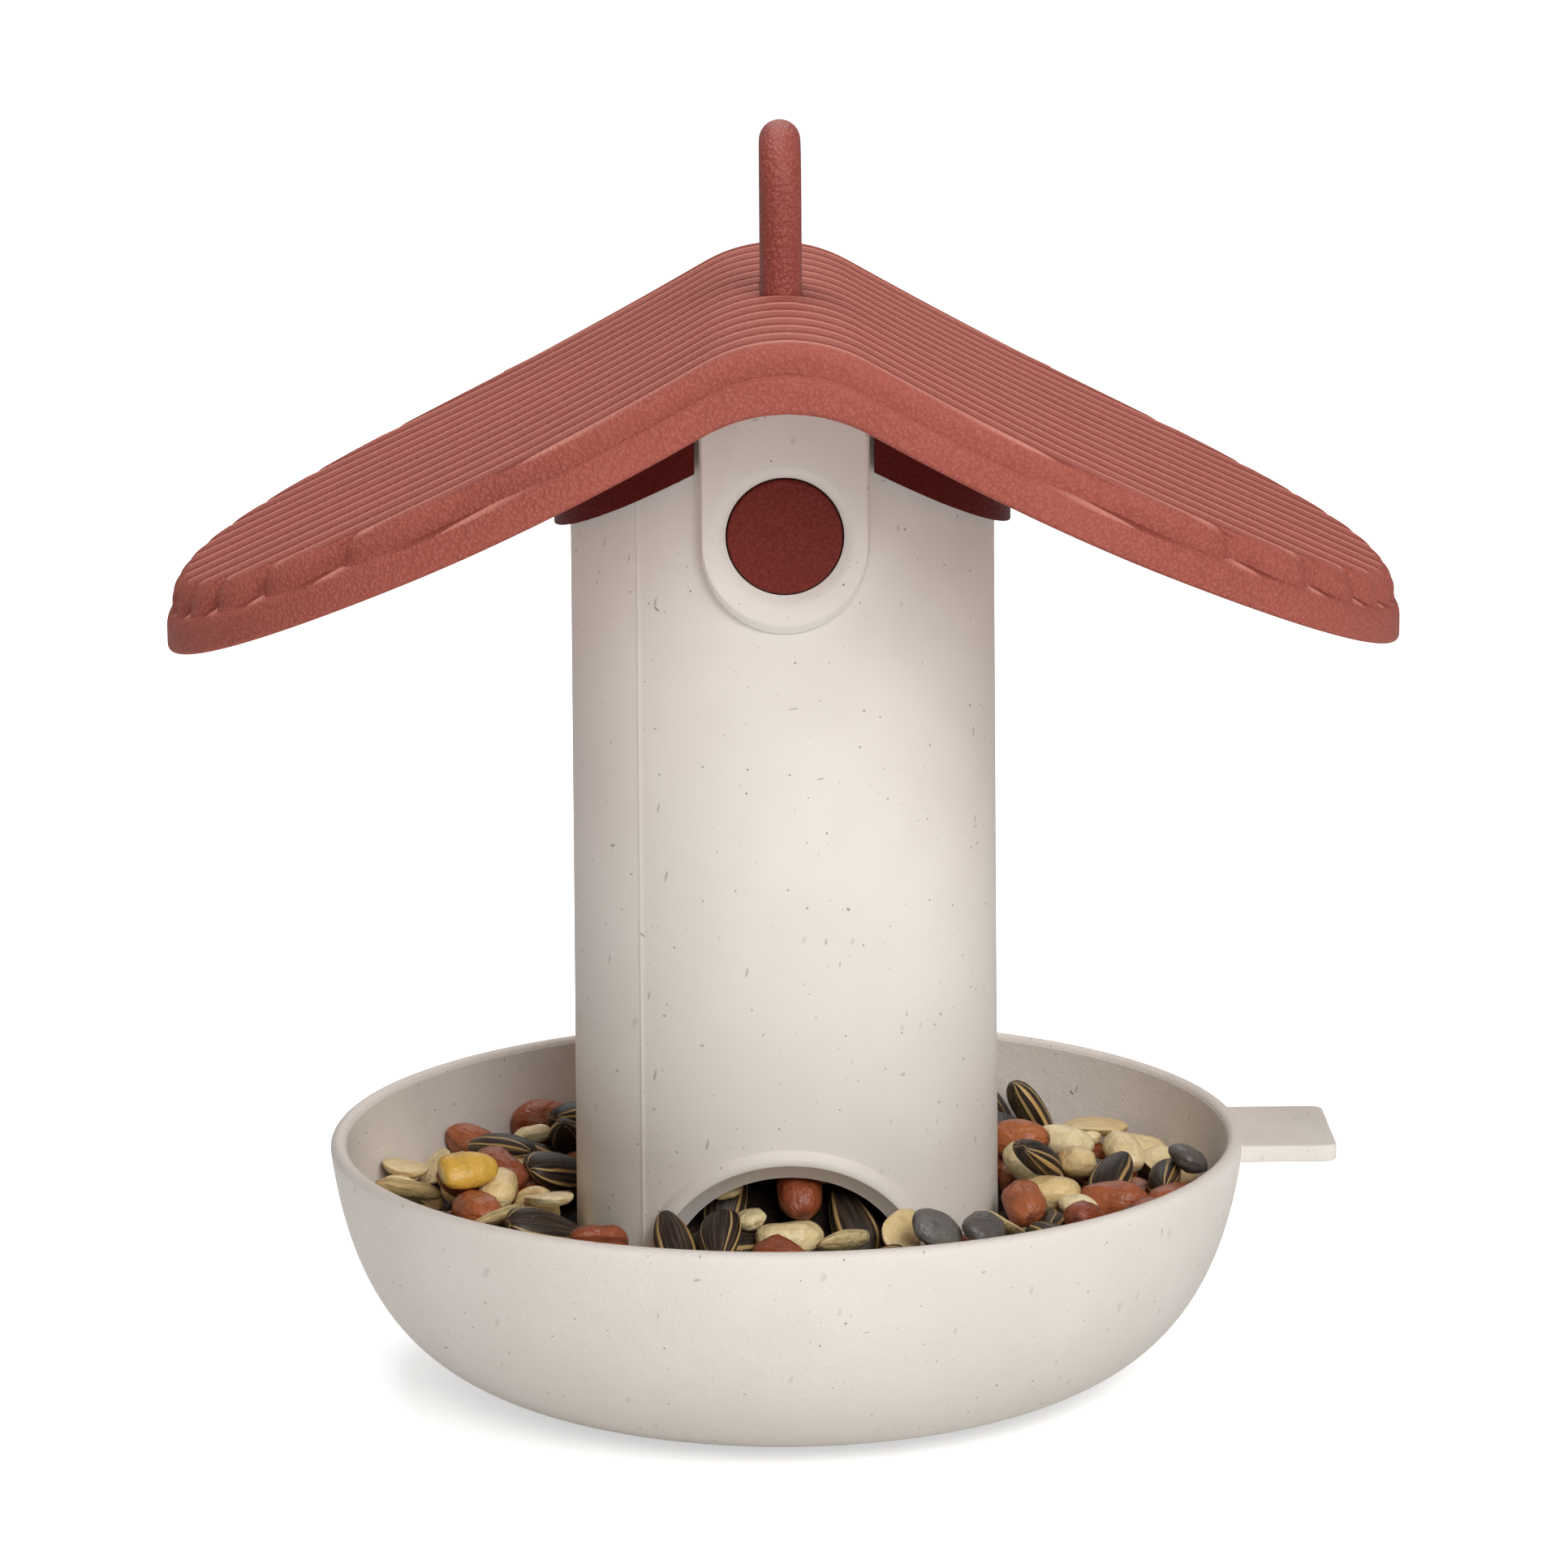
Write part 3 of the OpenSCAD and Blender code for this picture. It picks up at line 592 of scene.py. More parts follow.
def make_pad_hole():
    """Round hole through a pad's wall, with a dished rim."""
    hole_r = BUTTON_D / 2 + BUTTON_GAP
    dish = [(0.0, -1.0), (0.12, -0.86), (0.4, -0.52), (0.68, -0.22), (0.88, -0.06), (1.0, 0.0)]
    rim = [(hole_r + DISH_W * u, PAD_Y + DISH_T * v) for u, v in dish]
    past_r, past_y = hole_r + DISH_W + 0.4, PAD_Y + 3
    past = [(past_r, PAD_Y + 0.01), (past_r, past_y), (0, past_y)]
    start = PAD_INNER_Y - 3
    return to_front(lathe("hole", [(0, start), (hole_r, start)] + rim + past), BUTTON_Z)


def make_channel():
    """Space behind a pad in which a latch slides."""
    r = PAD_R - PAD_WALL
    outline = [(-r, RIDGE_Z + 4)] + arc(0, BUTTON_Z, r, 180, 360, 40) + [(r, RIDGE_Z + 4)]
    return prism("channel", outline, -PAD_INNER_Y, -PAD_INNER_Y + CHANNEL_DEPTH)


def roof_layer(name, top_drop, bottom_drop, half_w, half_depth):
    """Layer that follows the roof between two drops, across a width and a depth."""
    inner = [1.5 * i for i in range(14)]
    outer = [21 + 7 * i for i in range(40)]
    right = [x for x in inner + outer if x < half_w - 0.5] + [half_w]
    xs = [-x for x in reversed(right[1:])] + right
    upper = [(x, roof_z(x, top_drop)) for x in xs]
    lower = [(x, roof_z(x, bottom_drop)) for x in reversed(xs)]
    return prism(name, upper + lower, -half_depth, half_depth)


def make_tube():
    """Wall with its arches, lips, pads, button holes and channels, cut to the roof's shape."""
    tube = combine(make_tube_wall(), [make_arch_cut()], "DIFFERENCE")
    lip, pad = make_arch_lip(), make_pad()
    tube = combine(tube, [half_turn(lip), lip, half_turn(pad), pad], "UNION")
    low, high = TUBE_Z - CUT_PAST, RIDGE_Z + CUT_PAST
    core = [(tube_out(z) - TUBE_WALL, z) for z in (low, 60, high)]
    bore = lathe("bore", [(0, low)] + core + [(0, high)], TUBE_STEPS)
    bore_r = TUBE_FOOT_D / 2 - TUBE_WALL
    bore.data.transform(Matrix.Scale((bore_r - 0.02) / bore_r, 4))
    hole, channel = make_pad_hole(), make_channel()
    above = roof_layer("above", -60, TUBE_TOP_DROP, 100, 100)
    cuts = [bore, half_turn(hole), hole, half_turn(channel), channel, above]
    return combine(tube, cuts, "DIFFERENCE")


tube = make_tube()
finish_mesh(
    tube, "speckled_tube", tube_plastic, "base", ["seed_tube"], 24)


# Roof

LIP_R, END_FADE, TIP_PULL = 1.3, 34.0, 1.5
# (in from the rib's side, drop) over a rib's long edge, from inside the deck to the top
RIB_EDGE = [(0, 2.2), (0, 0.66), (0.06, 0.38), (0.22, 0.17), (0.48, 0.05), (0.85, 0.0)]
LOBE_DEPTH, VALLEY_DEPTH, BURIED = 1.9, 1.25, 2.2
RIB_FOOT, DECK_INSET = 6.2, 7.3


def shoulder_profile(depth, wall_depth):
    """(inset, drop) down the shoulder, from depth below the rib tops to wall_depth in."""
    top_inset = LEDGE_W + SHOULDER_R
    curve = []
    for i in range(13):
        a = radians(90 * i / 12)
        r = SHOULDER_R - depth - (wall_depth - depth) * sin(a) ** 1.1
        curve.append((top_inset - r * sin(a), SHOULDER_R - r * cos(a)))
    wall = LEDGE_W + wall_depth
    foot = [(wall, 4.0), (wall - 0.05, 4.5), (wall - 0.15, 4.95), (wall - 0.3, 5.25)]
    return curve + foot + [(wall - 0.35, RIB_FOOT)]


def make_rib(index):
    """Rib across the roof that wraps over both shoulders, with rounded long edges."""
    middle = (index - (RIB_COUNT - 1) / 2) * RIB_PITCH
    half = (RIB_PITCH - GROOVE_W) / 2
    left = [(-half + u, depth) for u, depth in RIB_EDGE]
    right = [(half - u, depth) for u, depth in reversed(RIB_EDGE)]
    section = left + [(half * u, 0) for u in (-0.72, -0.5, -0.25, 0, 0.25, 0.5, 0.72)] + right
    widest = max(abs(middle - half), abs(middle + half))
    reach = outline_x(widest, LEDGE_W + SHOULDER_R) - 1
    inner = [1.5 * i for i in range(12)] + [19 + 8 * i for i in range(12)]
    stations = [x for x in inner if x < reach - 2] + [reach]
    loops = []
    for across, depth in section:
        y = middle + across
        lobe = LOBE_DEPTH * abs(across / half) ** 2.4
        shoulder = shoulder_profile(depth, BURIED if depth == BURIED else lobe)
        edge = [(outline_x(y, inset), drop) for inset, drop in shoulder]
        top = [(x, depth) for x in stations]
        side = [(x, y, roof_z(x, drop)) for x, drop in top + edge]
        loops.append([(-x, y, z) for x, y, z in reversed(side[1:])] + side)
    return loft("rib", list(zip(*loops)))


def make_end_rib():
    """Crescent between the first groove and the roof's front edge."""
    groove_y = (RIB_COUNT / 2) * RIB_PITCH + GROOVE_W / 2
    reach = outline_x(groove_y, LEDGE_W) - 0.6
    rings = []
    steps = 48
    for i in range(-steps, steps + 1):
        x = reach * sin(pi / 2 * i / steps)
        closed = min(max((abs(x) - END_FADE) / 12, 0), 1)
        inner_y = groove_y - (GROOVE_W + 0.6) * closed * closed * (3 - 2 * closed)
        sunk = min(max((abs(x) - END_FADE) / (reach - END_FADE), 0), 1) ** 2
        inner = [(inner_y, RIB_FOOT), (inner_y, 0.5), (inner_y + 0.1, 0.2), (inner_y + 0.3, 0)]
        shoulder = shoulder_profile(0, LOBE_DEPTH * sunk)
        outer = [(max(outline_y(x, inset), inner_y + 0.3), drop) for inset, drop in shoulder]
        rings.append([(x, -y, roof_z(x, drop)) for y, drop in inner + outer])
    return loft("end_rib", rings)


def make_ring():
    """Shoulder below the ribs, ledge and fascia, all the way round."""
    wall = FASCIA_WALL
    lip = arc(LIP_R, FASCIA_H - LIP_R, LIP_R, 180, 90, 6)
    profile = [(8.5, DECK_T + RIB_H - 0.1), (7.6, 1.1), (7.0, RIB_H + 0.03)]
    profile += shoulder_profile(RIB_H + 0.02, VALLEY_DEPTH)[:-2]
    profile += [(2.2, 5.3), (1.7, 5.42), (1.2, 5.62), (0.7, 5.95), (0.32, 6.4), (0.1, 6.95)]
    profile += [(0, 7.6), (0, 9.4)] + lip + [(wall - 0.5, FASCIA_H), (wall - 0.12, FASCIA_H - 0.2)]
    profile += [(wall, FASCIA_H - 0.6), (wall, LEDGE_DROP + 3.0), (wall + 0.3, LEDGE_DROP + 2.5)]
    profile += [(LEDGE_W + 2.2, LEDGE_DROP + 2.4), (LEDGE_W + 2.6, LEDGE_DROP + 2.0)]
    profile += [(LEDGE_W + 2.8, DECK_T + RIB_H - 0.1)]
    rings = []
    for a in circle(480):
        ring = []
        for inset, drop in profile:
            side = ROOF_W / 2 - inset - TIP_PULL * max(0, 1 - inset / 6)
            x, y = oval_point(a, side, ROOF_DEPTH / 2 - inset)
            ring.append((x, y, roof_z(x, drop)))
        rings.append(ring)
    return loft("ring", rings, wrap=True)


def make_deck():
    """Plate under the ribs, cut to an oval inside the ring."""
    deck = roof_layer("deck", RIB_H, RIB_H + DECK_T, ROOF_W / 2 - 1, ROOF_DEPTH / 2 - 1)
    half_w, half_depth = ROOF_W / 2 - DECK_INSET, ROOF_DEPTH / 2 - DECK_INSET
    outline = [oval_point(a, half_w, half_depth) for a in circle(240)]
    oval = prism("oval", outline, UNDER_ROOF, OVER_ROOF, upright=True)
    return combine(deck, [oval], "INTERSECT")


def make_gate_patch():
    """Low smooth patch that bridges the grooves in front of the loop."""
    front, rear, half = -34.5, -6.0, 3.2
    rings = []
    for share, drop in ((1.0, 1.4), (1.0, 0.22), (0.96, 0.06), (0.86, -0.04)):
        xs = [half * share * k / 4 for k in range(-4, 5)]
        ring = [(x, front - 0.6 * share + 0.6, roof_z(x, drop)) for x in xs]
        rings.append(ring + [(x, rear, roof_z(x, drop)) for x in reversed(xs)])
    return loft("gate_patch", rings)


def make_posts():
    """Four posts under the deck that hold the collar's plate."""
    posts = []
    for x in (-POST_X, POST_X):
        for y in (-POST_Y, POST_Y):
            top, bottom = roof_z(x, DECK_T - 0.5), roof_z(x, POST_DROP)
            foot = [(0, bottom), (POST_R - POST_EDGE, bottom), (POST_R, bottom + POST_EDGE)]
            post = lathe("post", foot + [(POST_R, top), (0, top)], 32)
            post.data.transform(Matrix.Translation((x * MM, y * MM, 0)))
            posts.append(post)
    return posts


def make_roof():
    """Ring, deck, ribs and posts in one, with a slot for the loop's foot."""
    roof = combine(make_ring(), [make_deck()], "UNION")
    end = make_end_rib()
    parts = [make_rib(i) for i in range(RIB_COUNT)] + [half_turn(end), end, make_gate_patch()]
    roof = combine(roof, parts + make_posts(), "UNION")
    slot_t, slot_w = LOOP_BAR_R + 0.1, LOOP_W / 2 + 0.1
    corners = [(-slot_t, -slot_w), (slot_t, -slot_w), (slot_t, slot_w), (-slot_t, slot_w)]
    slot = prism("slot", corners, UNDER_ROOF, OVER_ROOF, upright=True)
    return combine(roof, [slot], "DIFFERENCE")


roof = make_roof()
finish_mesh(roof, "ribbed_roof", roof_plastic, "roof", ["roof"], 34)


# Hanging loop

def make_loop():
    """Round bar bent over, on a foot that fills the slot, with a flange below the deck."""
    path = [(-LOOP_BEND_R, z) for z in np.linspace(RIDGE_Z - 2, LOOP_BEND_Z, 9)]
    turns = [pi * i / 40 for i in range(1, 40)]
    path += [(-LOOP_BEND_R * cos(a), LOOP_BEND_Z + LOOP_BEND_R * sin(a)) for a in turns]
    path += [(LOOP_BEND_R, z) for z in np.linspace(LOOP_BEND_Z, RIDGE_Z - 2, 9)]
    rings = []
    for i, (y, z) in enumerate(path):
        before, after = path[max(i - 1, 0)], path[min(i + 1, len(path) - 1)]
        run = np.subtract(after, before)
        side = np.array([run[1], -run[0]]) / np.linalg.norm(run)
        ring = []
        for a in circle(40):
            out = LOOP_BAR_R * sin(a)
            ring.append((LOOP_BAR_R * cos(a), y + side[0] * out, z + side[1] * out))
        rings.append(ring)
    bar = loft("bar", rings)
    foot = roof_layer("foot", 0.05, DECK_T + RIB_H + 0.5, LOOP_BAR_R, LOOP_W / 2)
    under = DECK_T + RIB_H
    flange = roof_layer(
        "flange", under, under + FLANGE_T, LOOP_BAR_R + FLANGE_PROUD, LOOP_W / 2 + FLANGE_PROUD)
    return combine(bar, [foot, flange], "UNION")


loop = make_loop()
finish_mesh(loop, "loop_bar", loop_plastic, "roof", ["hanging_loop"], 40)


# Latches

def make_latch():
    """Button with a rounded edge on its spring leg, with a round root."""
    r, edge, soft = BUTTON_D / 2, 0.55, 0.4
    back = LEG_Y - LEG_T
    face = arc(r - edge, BUTTON_Y - edge, edge, 0, 90, 6) + [(r * 0.5, BUTTON_Y), (0, BUTTON_Y)]
    button = to_front(lathe("button", [(0, back), (r, back)] + face, 96), BUTTON_Z)
    outline = []
    for cx, cy, start in ((1, 1, 0), (-1, 1, 90), (-1, -1, 180), (1, -1, 270)):
        x, y = cx * (LEG_W / 2 - soft), -LEG_Y + LEG_T / 2 + cy * (LEG_T / 2 - soft)
        outline += arc(x, y, soft, start, start + 90, 4)
    leg = prism("leg", outline, BUTTON_Z, ROOT_Z, upright=True)
    root = lathe("root", [(0, 0), (LEG_ROOT_R, 0), (LEG_ROOT_R, LEG_W), (0, LEG_W)], 32)
    root.data.transform(Matrix.Rotation(pi / 2, 4, "Y"))
    root.data.transform(Matrix.Translation((-LEG_W / 2 * MM, -ROOT_Y * MM, ROOT_Z * MM)))
    return combine(button, [leg, root], "UNION")


front = make_latch()
rear = half_turn(front)
for made, name in ((front, "front_latch"), (rear, "rear_latch")):
    finish_mesh(
        made, name + "_button", button_plastic, name, [name], 40)

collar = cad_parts["roof_collar"]
# Painted-shade red on the collar
for slot in collar.material_slots:
    slot.material = collar_painted_shade_plastic


# Seed in the bowl and in the foot of the tube

random = np.random.default_rng(11)
CELL = 0.6
HALF_GRID = int(BOWL_R / CELL)
grid = np.arange(-HALF_GRID, HALF_GRID + 1) * CELL
grid_x, grid_y = np.meshgrid(grid, grid, indexing="ij")
grid_r = np.hypot(grid_x, grid_y)
BED_Z, BLOCKED = 27.0, 900.0
HEAP_TOP, HEAP_SLOPE, SPILL = 49.0, tan(radians(36)), 6.0
FILL_Z, FILL_FALL, FILL_TOP = 43.0, 5.0, 47
LOOSE_DEPTH, BELOW_LEVEL, SUNK = 12, 2.5, 0.94
TUBE_OUT = tube_out(40)
TUBE_IN = TUBE_OUT - TUBE_WALL


def bowl_floor(r):
    """Height of the bowl's inner surface at radius r."""
    profile = np.array([side_inner(i / 40) for i in range(41)])[::-1]
    return np.interp(r, profile[:, 0], profile[:, 1])


def bed_height(x, y):
    """Height of the fill under the loose seeds."""
    r = np.hypot(x, y)
    heap = np.clip(BED_Z + (TUBE_IN + SPILL - np.abs(y)) * HEAP_SLOPE, BED_Z, HEAP_TOP)
    heaped = (r < TUBE_IN + 1.1) | (np.abs(x) < ARCH_R - 2)
    return np.where(heaped, np.maximum(heap, bowl_floor(r)), np.maximum(BED_Z, bowl_floor(r)))


ground = bed_height(grid_x, grid_y)
ground[grid_r > BOWL_R - BOWL_WALL - 0.6] = BLOCKED
ceiling = np.full_like(ground, BLOCKED)
in_wall = (grid_r > TUBE_IN - 0.4) & (grid_r < TUBE_OUT + LIP_T + 0.3)
opening = ARCH_R - LIP_CHAMFER - 0.6
arch_ceiling = ARCH_Z + np.sqrt(np.maximum(opening ** 2 - grid_x ** 2, 0)) - 0.4
ceiling[in_wall] = np.where(np.abs(grid_x) < opening, arch_ceiling, -BLOCKED)[in_wall]


def turn_matrix(yaw, pitch, roll):
    turn = Matrix.Rotation(yaw, 3, "Z") @ Matrix.Rotation(pitch, 3, "Y")
    return np.array(turn @ Matrix.Rotation(roll, 3, "X"))


def settle(x, y, turn, radii):
    """(height, cells, top) of an ellipsoid lowered until it touches, or None if it can't lie."""
    form = turn @ np.diag(1 / np.square(radii)) @ turn.T
    reach = sqrt((turn[:2] ** 2 @ np.square(radii)).max())
    i0, j0 = (int(round(c / CELL)) + HALF_GRID for c in (x, y))
    span = int(reach / CELL) + 1
    if min(i0, j0) < span or max(i0, j0) >= len(grid) - span:
        return None
    cells = (slice(i0 - span, i0 + span + 1), slice(j0 - span, j0 + span + 1))
    dx, dy = grid_x[cells] - x, grid_y[cells] - y
    b = form[0, 2] * dx + form[1, 2] * dy
    c = form[0, 0] * dx ** 2 + 2 * form[0, 1] * dx * dy + form[1, 1] * dy ** 2 - 1
    inside = b * b - form[2, 2] * c
    covered = inside > 0
    root = np.sqrt(np.where(covered, inside, 0))
    low, high = (-b - root) / form[2, 2], (-b + root) / form[2, 2]
    z = np.where(covered, ground[cells] - low, -BLOCKED).max()
    if z > BLOCKED / 2 or np.any(covered & (z + high > ceiling[cells])):
        return None
    return z, cells, np.where(covered, z + high, -BLOCKED)


def level(x, y):
    """Height that the seeds fill to."""
    r = hypot(x, y)
    heap = float(bed_height(x, y)) + LOOSE_DEPTH
    if r < TUBE_IN + 1:
        return heap
    flat = FILL_Z - FILL_FALL * (r - TUBE_IN) / (BOWL_R - TUBE_IN)
    return max(flat, min(heap, FILL_TOP) if abs(x) < ARCH_R else 0)


HUSK, NUT, HALF, CHIP, SKINNED, DUSTY, MAIZE = range(7)
# Each kind: share of the mix, length, width and thickness, and the spread of its size
KINDS = {
    HUSK: (0.30, (17.8, 9.2, 6.2), 0.10),
    NUT: (0.20, (13.5, 8.6, 7.8), 0.14),
    HALF: (0.17, (13.5, 9.0, 4.8), 0.12),
    CHIP: (0.05, (7.5, 5.8, 4.0), 0.25),
    SKINNED: (0.28, (13.5, 9.0, 8.2), 0.12),
    DUSTY: (0.0, (11.0, 8.2, 5.0), 0.10),
    MAIZE: (0.0, (12.0, 9.8, 5.8), 0.06),
}
placed = []


def try_seed(kind, x, y, yaw, pitch, roll, scale=1.0):
    """A seed where it would settle, as keep_seed takes it, or None where it can't lie."""
    size = np.array(KINDS[kind][1]) * scale
    turn = turn_matrix(yaw, pitch, roll)
    spot = settle(x, y, turn, size / 2 * SUNK)
    return None if spot is None else (spot[0], kind, x, y, turn, size, spot[1], spot[2])


def keep_seed(found):
    """Adds a settled seed to the pile."""
    z, kind, x, y, turn, size, cells, top = found
    ground[cells] = np.maximum(ground[cells], top)
    placed.append((kind, np.array([x, y, z]), turn, size))


def ring_place(inner_r, outer_r):
    """Random place in a ring round the tube's axis."""
    r = sqrt(random.uniform(inner_r ** 2, outer_r ** 2))
    a = random.uniform(0, 2 * pi)
    return r * cos(a), r * sin(a)


def arch_place():
    """Random place in or before one of the two arches."""
    side, x = random.choice([-1, 1]), random.uniform(-ARCH_R + 3, ARCH_R - 3)
    return x, side * random.uniform(TUBE_IN - 16, TUBE_IN + 10)


def scatter(count, tries, pick_place, husk_share=KINDS[HUSK][0]):
    """Lowers seeds onto the pile, each into the lowest of a few random places."""
    shares = np.array([husk_share if kind == HUSK else KINDS[kind][0] for kind in KINDS])
    for _ in range(count):
        kind = random.choice(len(KINDS), p=shares / shares.sum())
        spread = KINDS[kind][2]
        scale = 1 + random.uniform(-spread, spread)
        best = None
        for _ in range(tries):
            x, y = pick_place()
            yaw = random.uniform(0, 2 * pi)
            pitch, roll = random.normal(0, 0.3), random.normal(0, 0.4)
            found = try_seed(kind, x, y, yaw, pitch, roll, scale)
            if found is None or found[0] > level(x, y) - BELOW_LEVEL:
                continue
            rise = found[0] - level(x, y)
            if best is None or rise < best_rise:
                best, best_rise = found, rise
        if best:
            keep_seed(best)


def place_seed(kind, x, y, yaw, pitch, roll):
    """Seed laid on the pile at a chosen place, with its turns in degrees."""
    found = try_seed(kind, x, y, *(radians(a) for a in (yaw, pitch, roll)))
    if found:
        keep_seed(found)


# (kind, x, y, yaw, pitch, roll) of the seeds that fill the front arch, and the rear one likewise
ARCH_SEEDS = [
    (HUSK, -12, -39, 20, 0, 20), (NUT, 0, -40, 10, 0, 0), (HUSK, 11, -39, 160, 0, 10),
    (HUSK, -13, -34, 70, -36, 10), (SKINNED, 2, -35, 95, -30, 0), (HUSK, 12, -34, 115, -38, -10),
    (HUSK, -5, -33, 85, -40, -12), (NUT, 17, -32, 100, -30, 0), (NUT, -18, -32, 60, -30, 0),
    (HUSK, 6, -31, 100, -42, 10), (HUSK, -12, -28, 75, -44, 0), (NUT, -1, -28, 80, -36, 0),
    (HUSK, 9, -27, 100, -44, 12), (HUSK, -5, -25, 95, -45, 0), (HUSK, 3, -24, 85, -45, -10),
    (HUSK, 14, -26, 105, -42, 0), (HUSK, -14, -23, 80, -42, 0), (HUSK, -2, -20, 90, -40, 0),
    (NUT, 9, -20, 90, -30, 0),
]
# The yellow kernel, grey seeds and one husk, near where the photograph has them
SEEN_SEEDS = [
    (MAIZE, -63, -6, 25, 0, 35), (DUSTY, 28, -50, 20, 25, 40), (DUSTY, 37, -49, 60, 0, 30),
    (DUSTY, 80, 4, 100, 0, 30), (HUSK, 50, -4, 60, 30, 20),
]
for kind, x, y, yaw, pitch, roll in ARCH_SEEDS:
    place_seed(kind, x, y, yaw, pitch, roll)
    place_seed(kind, -x, -y, yaw + 180, pitch, roll)
scatter(110, 7, arch_place, husk_share=1.2)
scatter(420, 9, lambda: ring_place(TUBE_IN + 1, BOWL_R - 4))
scatter(110, 6, lambda: ring_place(0, TUBE_IN + 1))
for seen in SEEN_SEEDS:
    place_seed(*seen)
scatter(90, 9, arch_place, husk_share=1.6)


# Shapes of single seeds, each a unit form along X

def seed_rings(kind, variety):
    """Rings of points in half the seed's size, and each point's shares along and round."""
    along_steps, round_steps = (16, 20) if kind == HUSK else (14, 18)
    points, marks = [], []
    for i in range(along_steps + 1):
        share = i / along_steps
        u = -cos(pi * share)
        radius = sqrt(max(1 - u * u, 0))
        lean = 0.0
        if kind == HUSK:
            width = radius ** 0.9 * (1 - 0.30 * u) * 0.93
            thick = radius ** 0.95 * (1 - 0.12 * u)
        elif kind == MAIZE:
            width = radius ** 0.55 * (0.86 - 0.22 * u)
            thick = radius ** 0.6 * (0.95 - 0.1 * u)
        else:
            waist = 1 - 0.07 * exp(-((u + 0.05) / 0.35) ** 2) * (variety % 3)
            width = radius ** 0.9 * (1 - 0.14 * u) * waist
            thick = radius ** 0.95 * (1 - 0.08 * u) * waist
            lean = 0.22 * max(u - 0.55, 0)
        for j in range(round_steps):
            a = 2 * pi * j / round_steps
            c, s = cos(a), sin(a)
            y, z = width * c, thick * s
            if kind == HUSK:
                z = thick * s * (0.80 + 0.20 * abs(s)) * (1 + 0.06 * sin(3 * a + variety))
            elif kind == HALF:
                z = thick * (s if s < 0 else s * 0.18 - 0.12 * max(0, 1 - abs(c) * 3) * radius)
                z += 0.35 * thick
            elif kind != MAIZE:
                cleft = exp(-((a - pi / 2) / 0.22) ** 2)
                swell = 1 + 0.05 * sin(3 * a + 2.6 * u + variety)
                swell += 0.03 * sin(5 * a - 4 * u + 2 * variety)
                y, z = y * swell + lean, z * swell - 0.14 * cleft * thick
            points.append((u, y, z))
            marks.append((share, j / round_steps))
    return points, marks, along_steps, round_steps


def joined_seeds(name, kinds, material):
    """All seeds of some kinds as one mesh, with the shares that seed_attribute reads."""
    points, faces, marks = [], [], []
    for number, (kind, place, turn, size) in enumerate(placed):
        if kind not in kinds:
            continue
        chance = random.random()
        unit, shares, along_steps, round_steps = seed_rings(kind, number)
        wobble = random.uniform(-0.06, 0.06, 3)
        local = np.array(unit)
        swell = 1 + wobble[0] * np.sin(2.1 * local[:, 0] + number)
        swell += wobble[1] * np.sin(3 * local[:, 0])
        local[:, 1:] *= swell[:, None]
        local[:, 2] += wobble[2] * (1 - local[:, 0] ** 2)
        for i in range(along_steps):
            low = len(points) + i * round_steps
            faces += band(low, low + round_steps, round_steps)
        points.extend(local * size / 2 @ turn.T + place)
        marks.extend((a, b, chance) for a, b in shares)
    mesh = bpy.data.meshes.new(name)
    mesh.from_pydata([tuple(p * MM) for p in points], [], faces)
    layer = mesh.attributes.new("seed", "FLOAT_VECTOR", "POINT")
    layer.data.foreach_set("vector", np.array(marks, dtype=np.float32).ravel())
    weld(mesh, SEED_WELD)
    made = add_object(name, mesh)
    return finish_mesh(made, name, material, "base", sharp=70)


def make_bed():
    """Fill under the loose seeds: a closed skin with a lumpy top."""
    edge_r, gap, under = 83, 0.4, 1.5
    inner, outer = np.linspace(0, TUBE_IN + 1, 14), np.linspace(TUBE_IN + 1.2, edge_r, 24)
    radii = np.concatenate([inner, outer])
    rings = []
    for a in circle(96):
        upper, lower = [], []
        for r in radii:
            x, y = r * cos(a), r * sin(a)
            lump = 1.2 * sin(x * 0.9) * sin(y * 1.1) if 0 < r < edge_r - 3 else 0
            upper.append((x, y, float(bed_height(x, y)) - under + lump))
            lower.append((x, y, max(BOWL_WALL + gap, float(bowl_floor(r)) + gap)))
        rings.append(upper + lower[::-1])
    return loft("bed", rings, wrap=True)


pale_nut = kernel_material(
    "pale_kernel", (0.72, 0.53, 0.24), (0.86, 0.73, 0.43), (0.36, 0.17, 0.06), 0.25)
skin_nut = kernel_material(
    "red_skin_kernel", (0.26, 0.055, 0.018), (0.44, 0.135, 0.045), (0.11, 0.025, 0.01), 0.55)
dust_nut = kernel_material(
    "dusty_kernel", (0.105, 0.094, 0.084), (0.16, 0.148, 0.136), (0.06, 0.05, 0.045), 0.3)
yellow_grain = kernel_material(
    "yellow_grain", (0.68, 0.40, 0.055), (0.76, 0.50, 0.09), (0.70, 0.60, 0.32), 0.06)
# Near-black fill under the loose seeds: painted shade in the gaps between them
fill_painted_shade = kernel_material(
    "seed_fill_painted_shade", (0.05, 0.03, 0.018), (0.09, 0.055, 0.03), (0.02, 0.012, 0.01), 0.3)

husks = joined_seeds("striped_sunflower_seeds", [HUSK], husk_material())
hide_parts("sunflower_seeds")
nuts = joined_seeds("pale_peanuts", [NUT, HALF, CHIP], pale_nut)
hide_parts("peanuts")
joined_seeds("red_skin_peanuts", [SKINNED], skin_nut)
joined_seeds("dusty_peanuts", [DUSTY], dust_nut)
joined_seeds("maize_kernels", [MAIZE], yellow_grain)
bed = make_bed()
finish_mesh(bed, "seed_fill", fill_painted_shade, "base", ["seed_bed", "seed_heap"], 60)


# Floor, light and camera

FLOOR_Z, FLOOR_RADII = -0.05, (200, 1000, 4000, 20000)
GLOW_SPAN, GLOW_LEVELS = (0.1, 0.4), (0.55, 1.0)


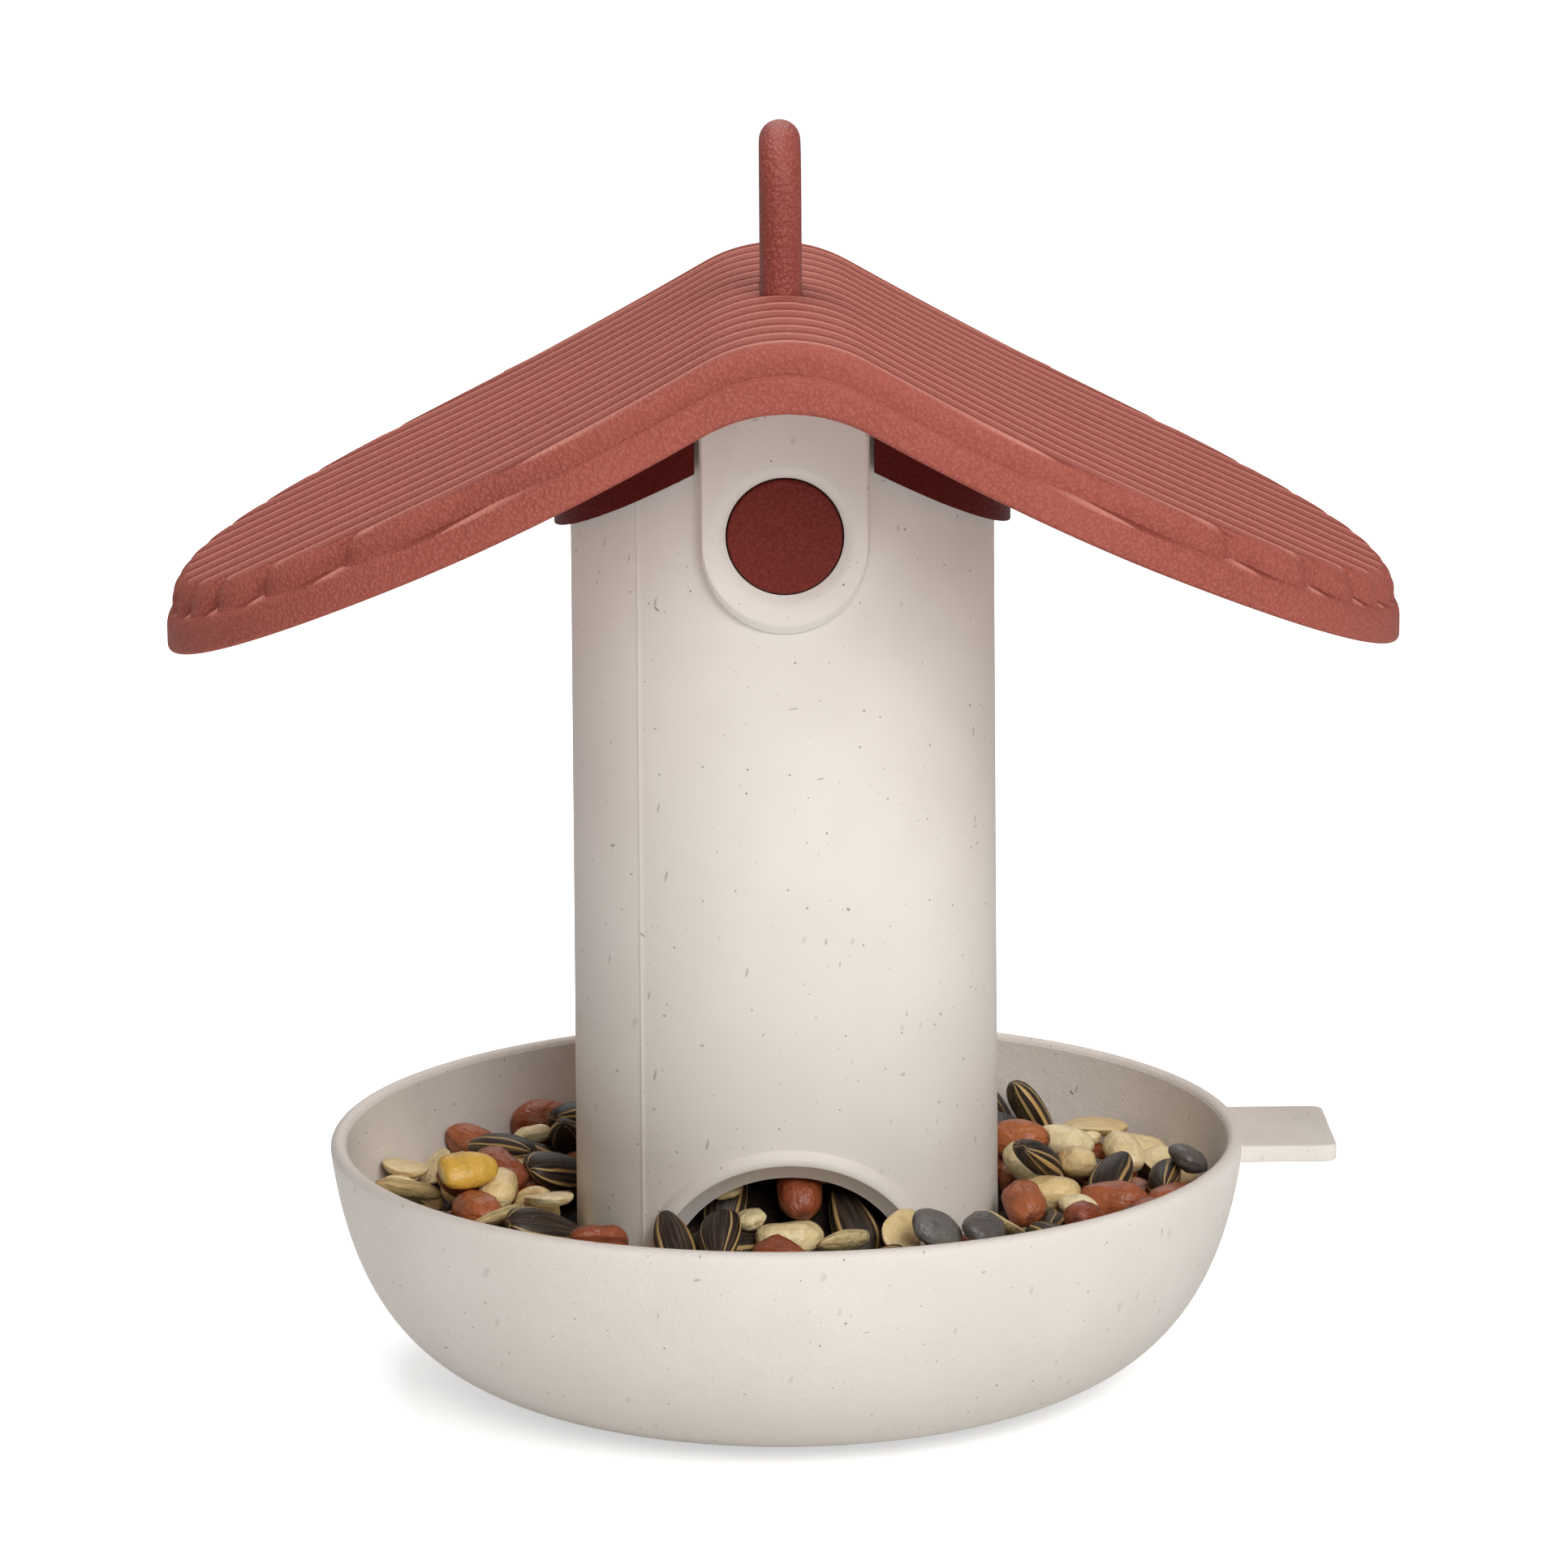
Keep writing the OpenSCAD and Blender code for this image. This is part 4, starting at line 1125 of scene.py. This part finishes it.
def make_floor():
    """Flat pale disc, shown as white away from the object by a glow that only the camera sees."""
    material, tree, position = new_material("pale_floor")
    camera_ray = add(tree, "LightPath").outputs["Is Camera Ray"]
    diffuse = add(tree, "BsdfDiffuse", {"Color": (0.9, 0.9, 0.9, 1)})
    distance = add(tree, "VectorMath", {0: position}, operation="LENGTH").outputs["Value"]
    spread = ramp(tree, distance, *GLOW_SPAN, *GLOW_LEVELS)
    inputs = {"Color": (1, 1, 1, 1), "Strength": times(tree, camera_ray, spread)}
    glow = add(tree, "Emission", inputs)
    both = add(tree, "AddShader", {0: diffuse.outputs[0], 1: glow.outputs[0]})
    add(tree, "OutputMaterial", {"Surface": both.outputs[0]})
    count = 96
    turns = circle(count)
    rings = [[(r * cos(a), r * sin(a), FLOOR_Z) for a in turns] for r in FLOOR_RADII]
    points = [p for ring in rings for p in ring] + [(0, 0, FLOOR_Z)]
    faces = [(count * len(rings), i, (i + 1) % count) for i in range(count)]
    for k in range(1, len(rings)):
        faces += band(count * k, count * (k - 1), count)
    mesh = bpy.data.meshes.new("floor")
    mesh.from_pydata([tuple(c * MM for c in p) for p in points], [], faces)
    mesh.materials.append(material)
    add_object("floor", mesh)


def make_world(strength):
    """Plain soft light from all round, shown as white."""
    world = bpy.data.worlds.new("studio")
    bpy.context.scene.world = world
    world.use_nodes = True
    tree = world.node_tree
    tree.nodes.clear()
    seen = add(tree, "LightPath").outputs
    shown = maths(tree, "MAXIMUM", seen["Is Camera Ray"], seen["Is Transmission Ray"])
    seen_level = ramp(tree, shown, 0, 1, strength, 1.0, smooth=False)
    background = add(tree, "Background", {"Color": (1, 1, 1, 1), "Strength": seen_level})
    add(tree, "OutputWorld", {"Surface": background.outputs[0]})


def make_light(name, place, target, size, power):
    """Round soft lamp, in metres and watts."""
    data = bpy.data.lights.new(name, "AREA")
    data.shape = "DISK"
    data.size = size
    data.energy = power
    lamp = add_object(name, data)
    lamp.location = place
    lamp.rotation_mode = "QUATERNION"
    lamp.rotation_quaternion = (Vector(target) - Vector(place)).to_track_quat("-Z", "Y")


# The photograph's viewpoint, fitted to the roof's rib lines, the bowl's rim and the tube's edges
EYE, VIEW, ROLL = (-0.0114, -1.0999, 0.3420), (0.0101, 0.9799, -0.1991), radians(-0.424)
FOCAL_PX, FRAME_PX, SENSOR = 7057.0, 1932.0, 36.0


def make_camera():
    forward = Vector(VIEW).normalized()
    right = forward.cross(Vector((0, 0, 1))).normalized()
    up = right.cross(forward)
    rolled_right = cos(ROLL) * right + sin(ROLL) * up
    rolled_up = cos(ROLL) * up - sin(ROLL) * right
    data = bpy.data.cameras.new("camera")
    data.sensor_width = SENSOR
    data.lens = FOCAL_PX / FRAME_PX * SENSOR
    data.clip_start, data.clip_end = 0.05, 60
    camera = add_object("camera", data)
    turn = Matrix((rolled_right, rolled_up, -forward)).transposed()
    camera.matrix_world = Matrix.Translation(EYE) @ turn.to_4x4()
    bpy.context.scene.camera = camera


make_floor()
make_world(0.20)
for lamp in (
    ("low", (0.50, -1.93, 0.70), (0, 0, 0.12), 0.5, 3.5),
    ("middle", (0.35, -1.75, 1.15), (0, 0, 0.12), 0.8, 15),
    ("high", (0.95, -1.45, 1.55), (0, 0, 0.12), 0.9, 16),
    ("top", (-0.30, 0.30, 1.7), (0, 0, 0.2), 0.8, 13),
    ("back", (0.0, 1.3, 1.2), (0, 0, 0.2), 1.2, 5),
):
    make_light(*lamp)
make_camera()
bpy.context.scene.view_settings.view_transform = "Standard"
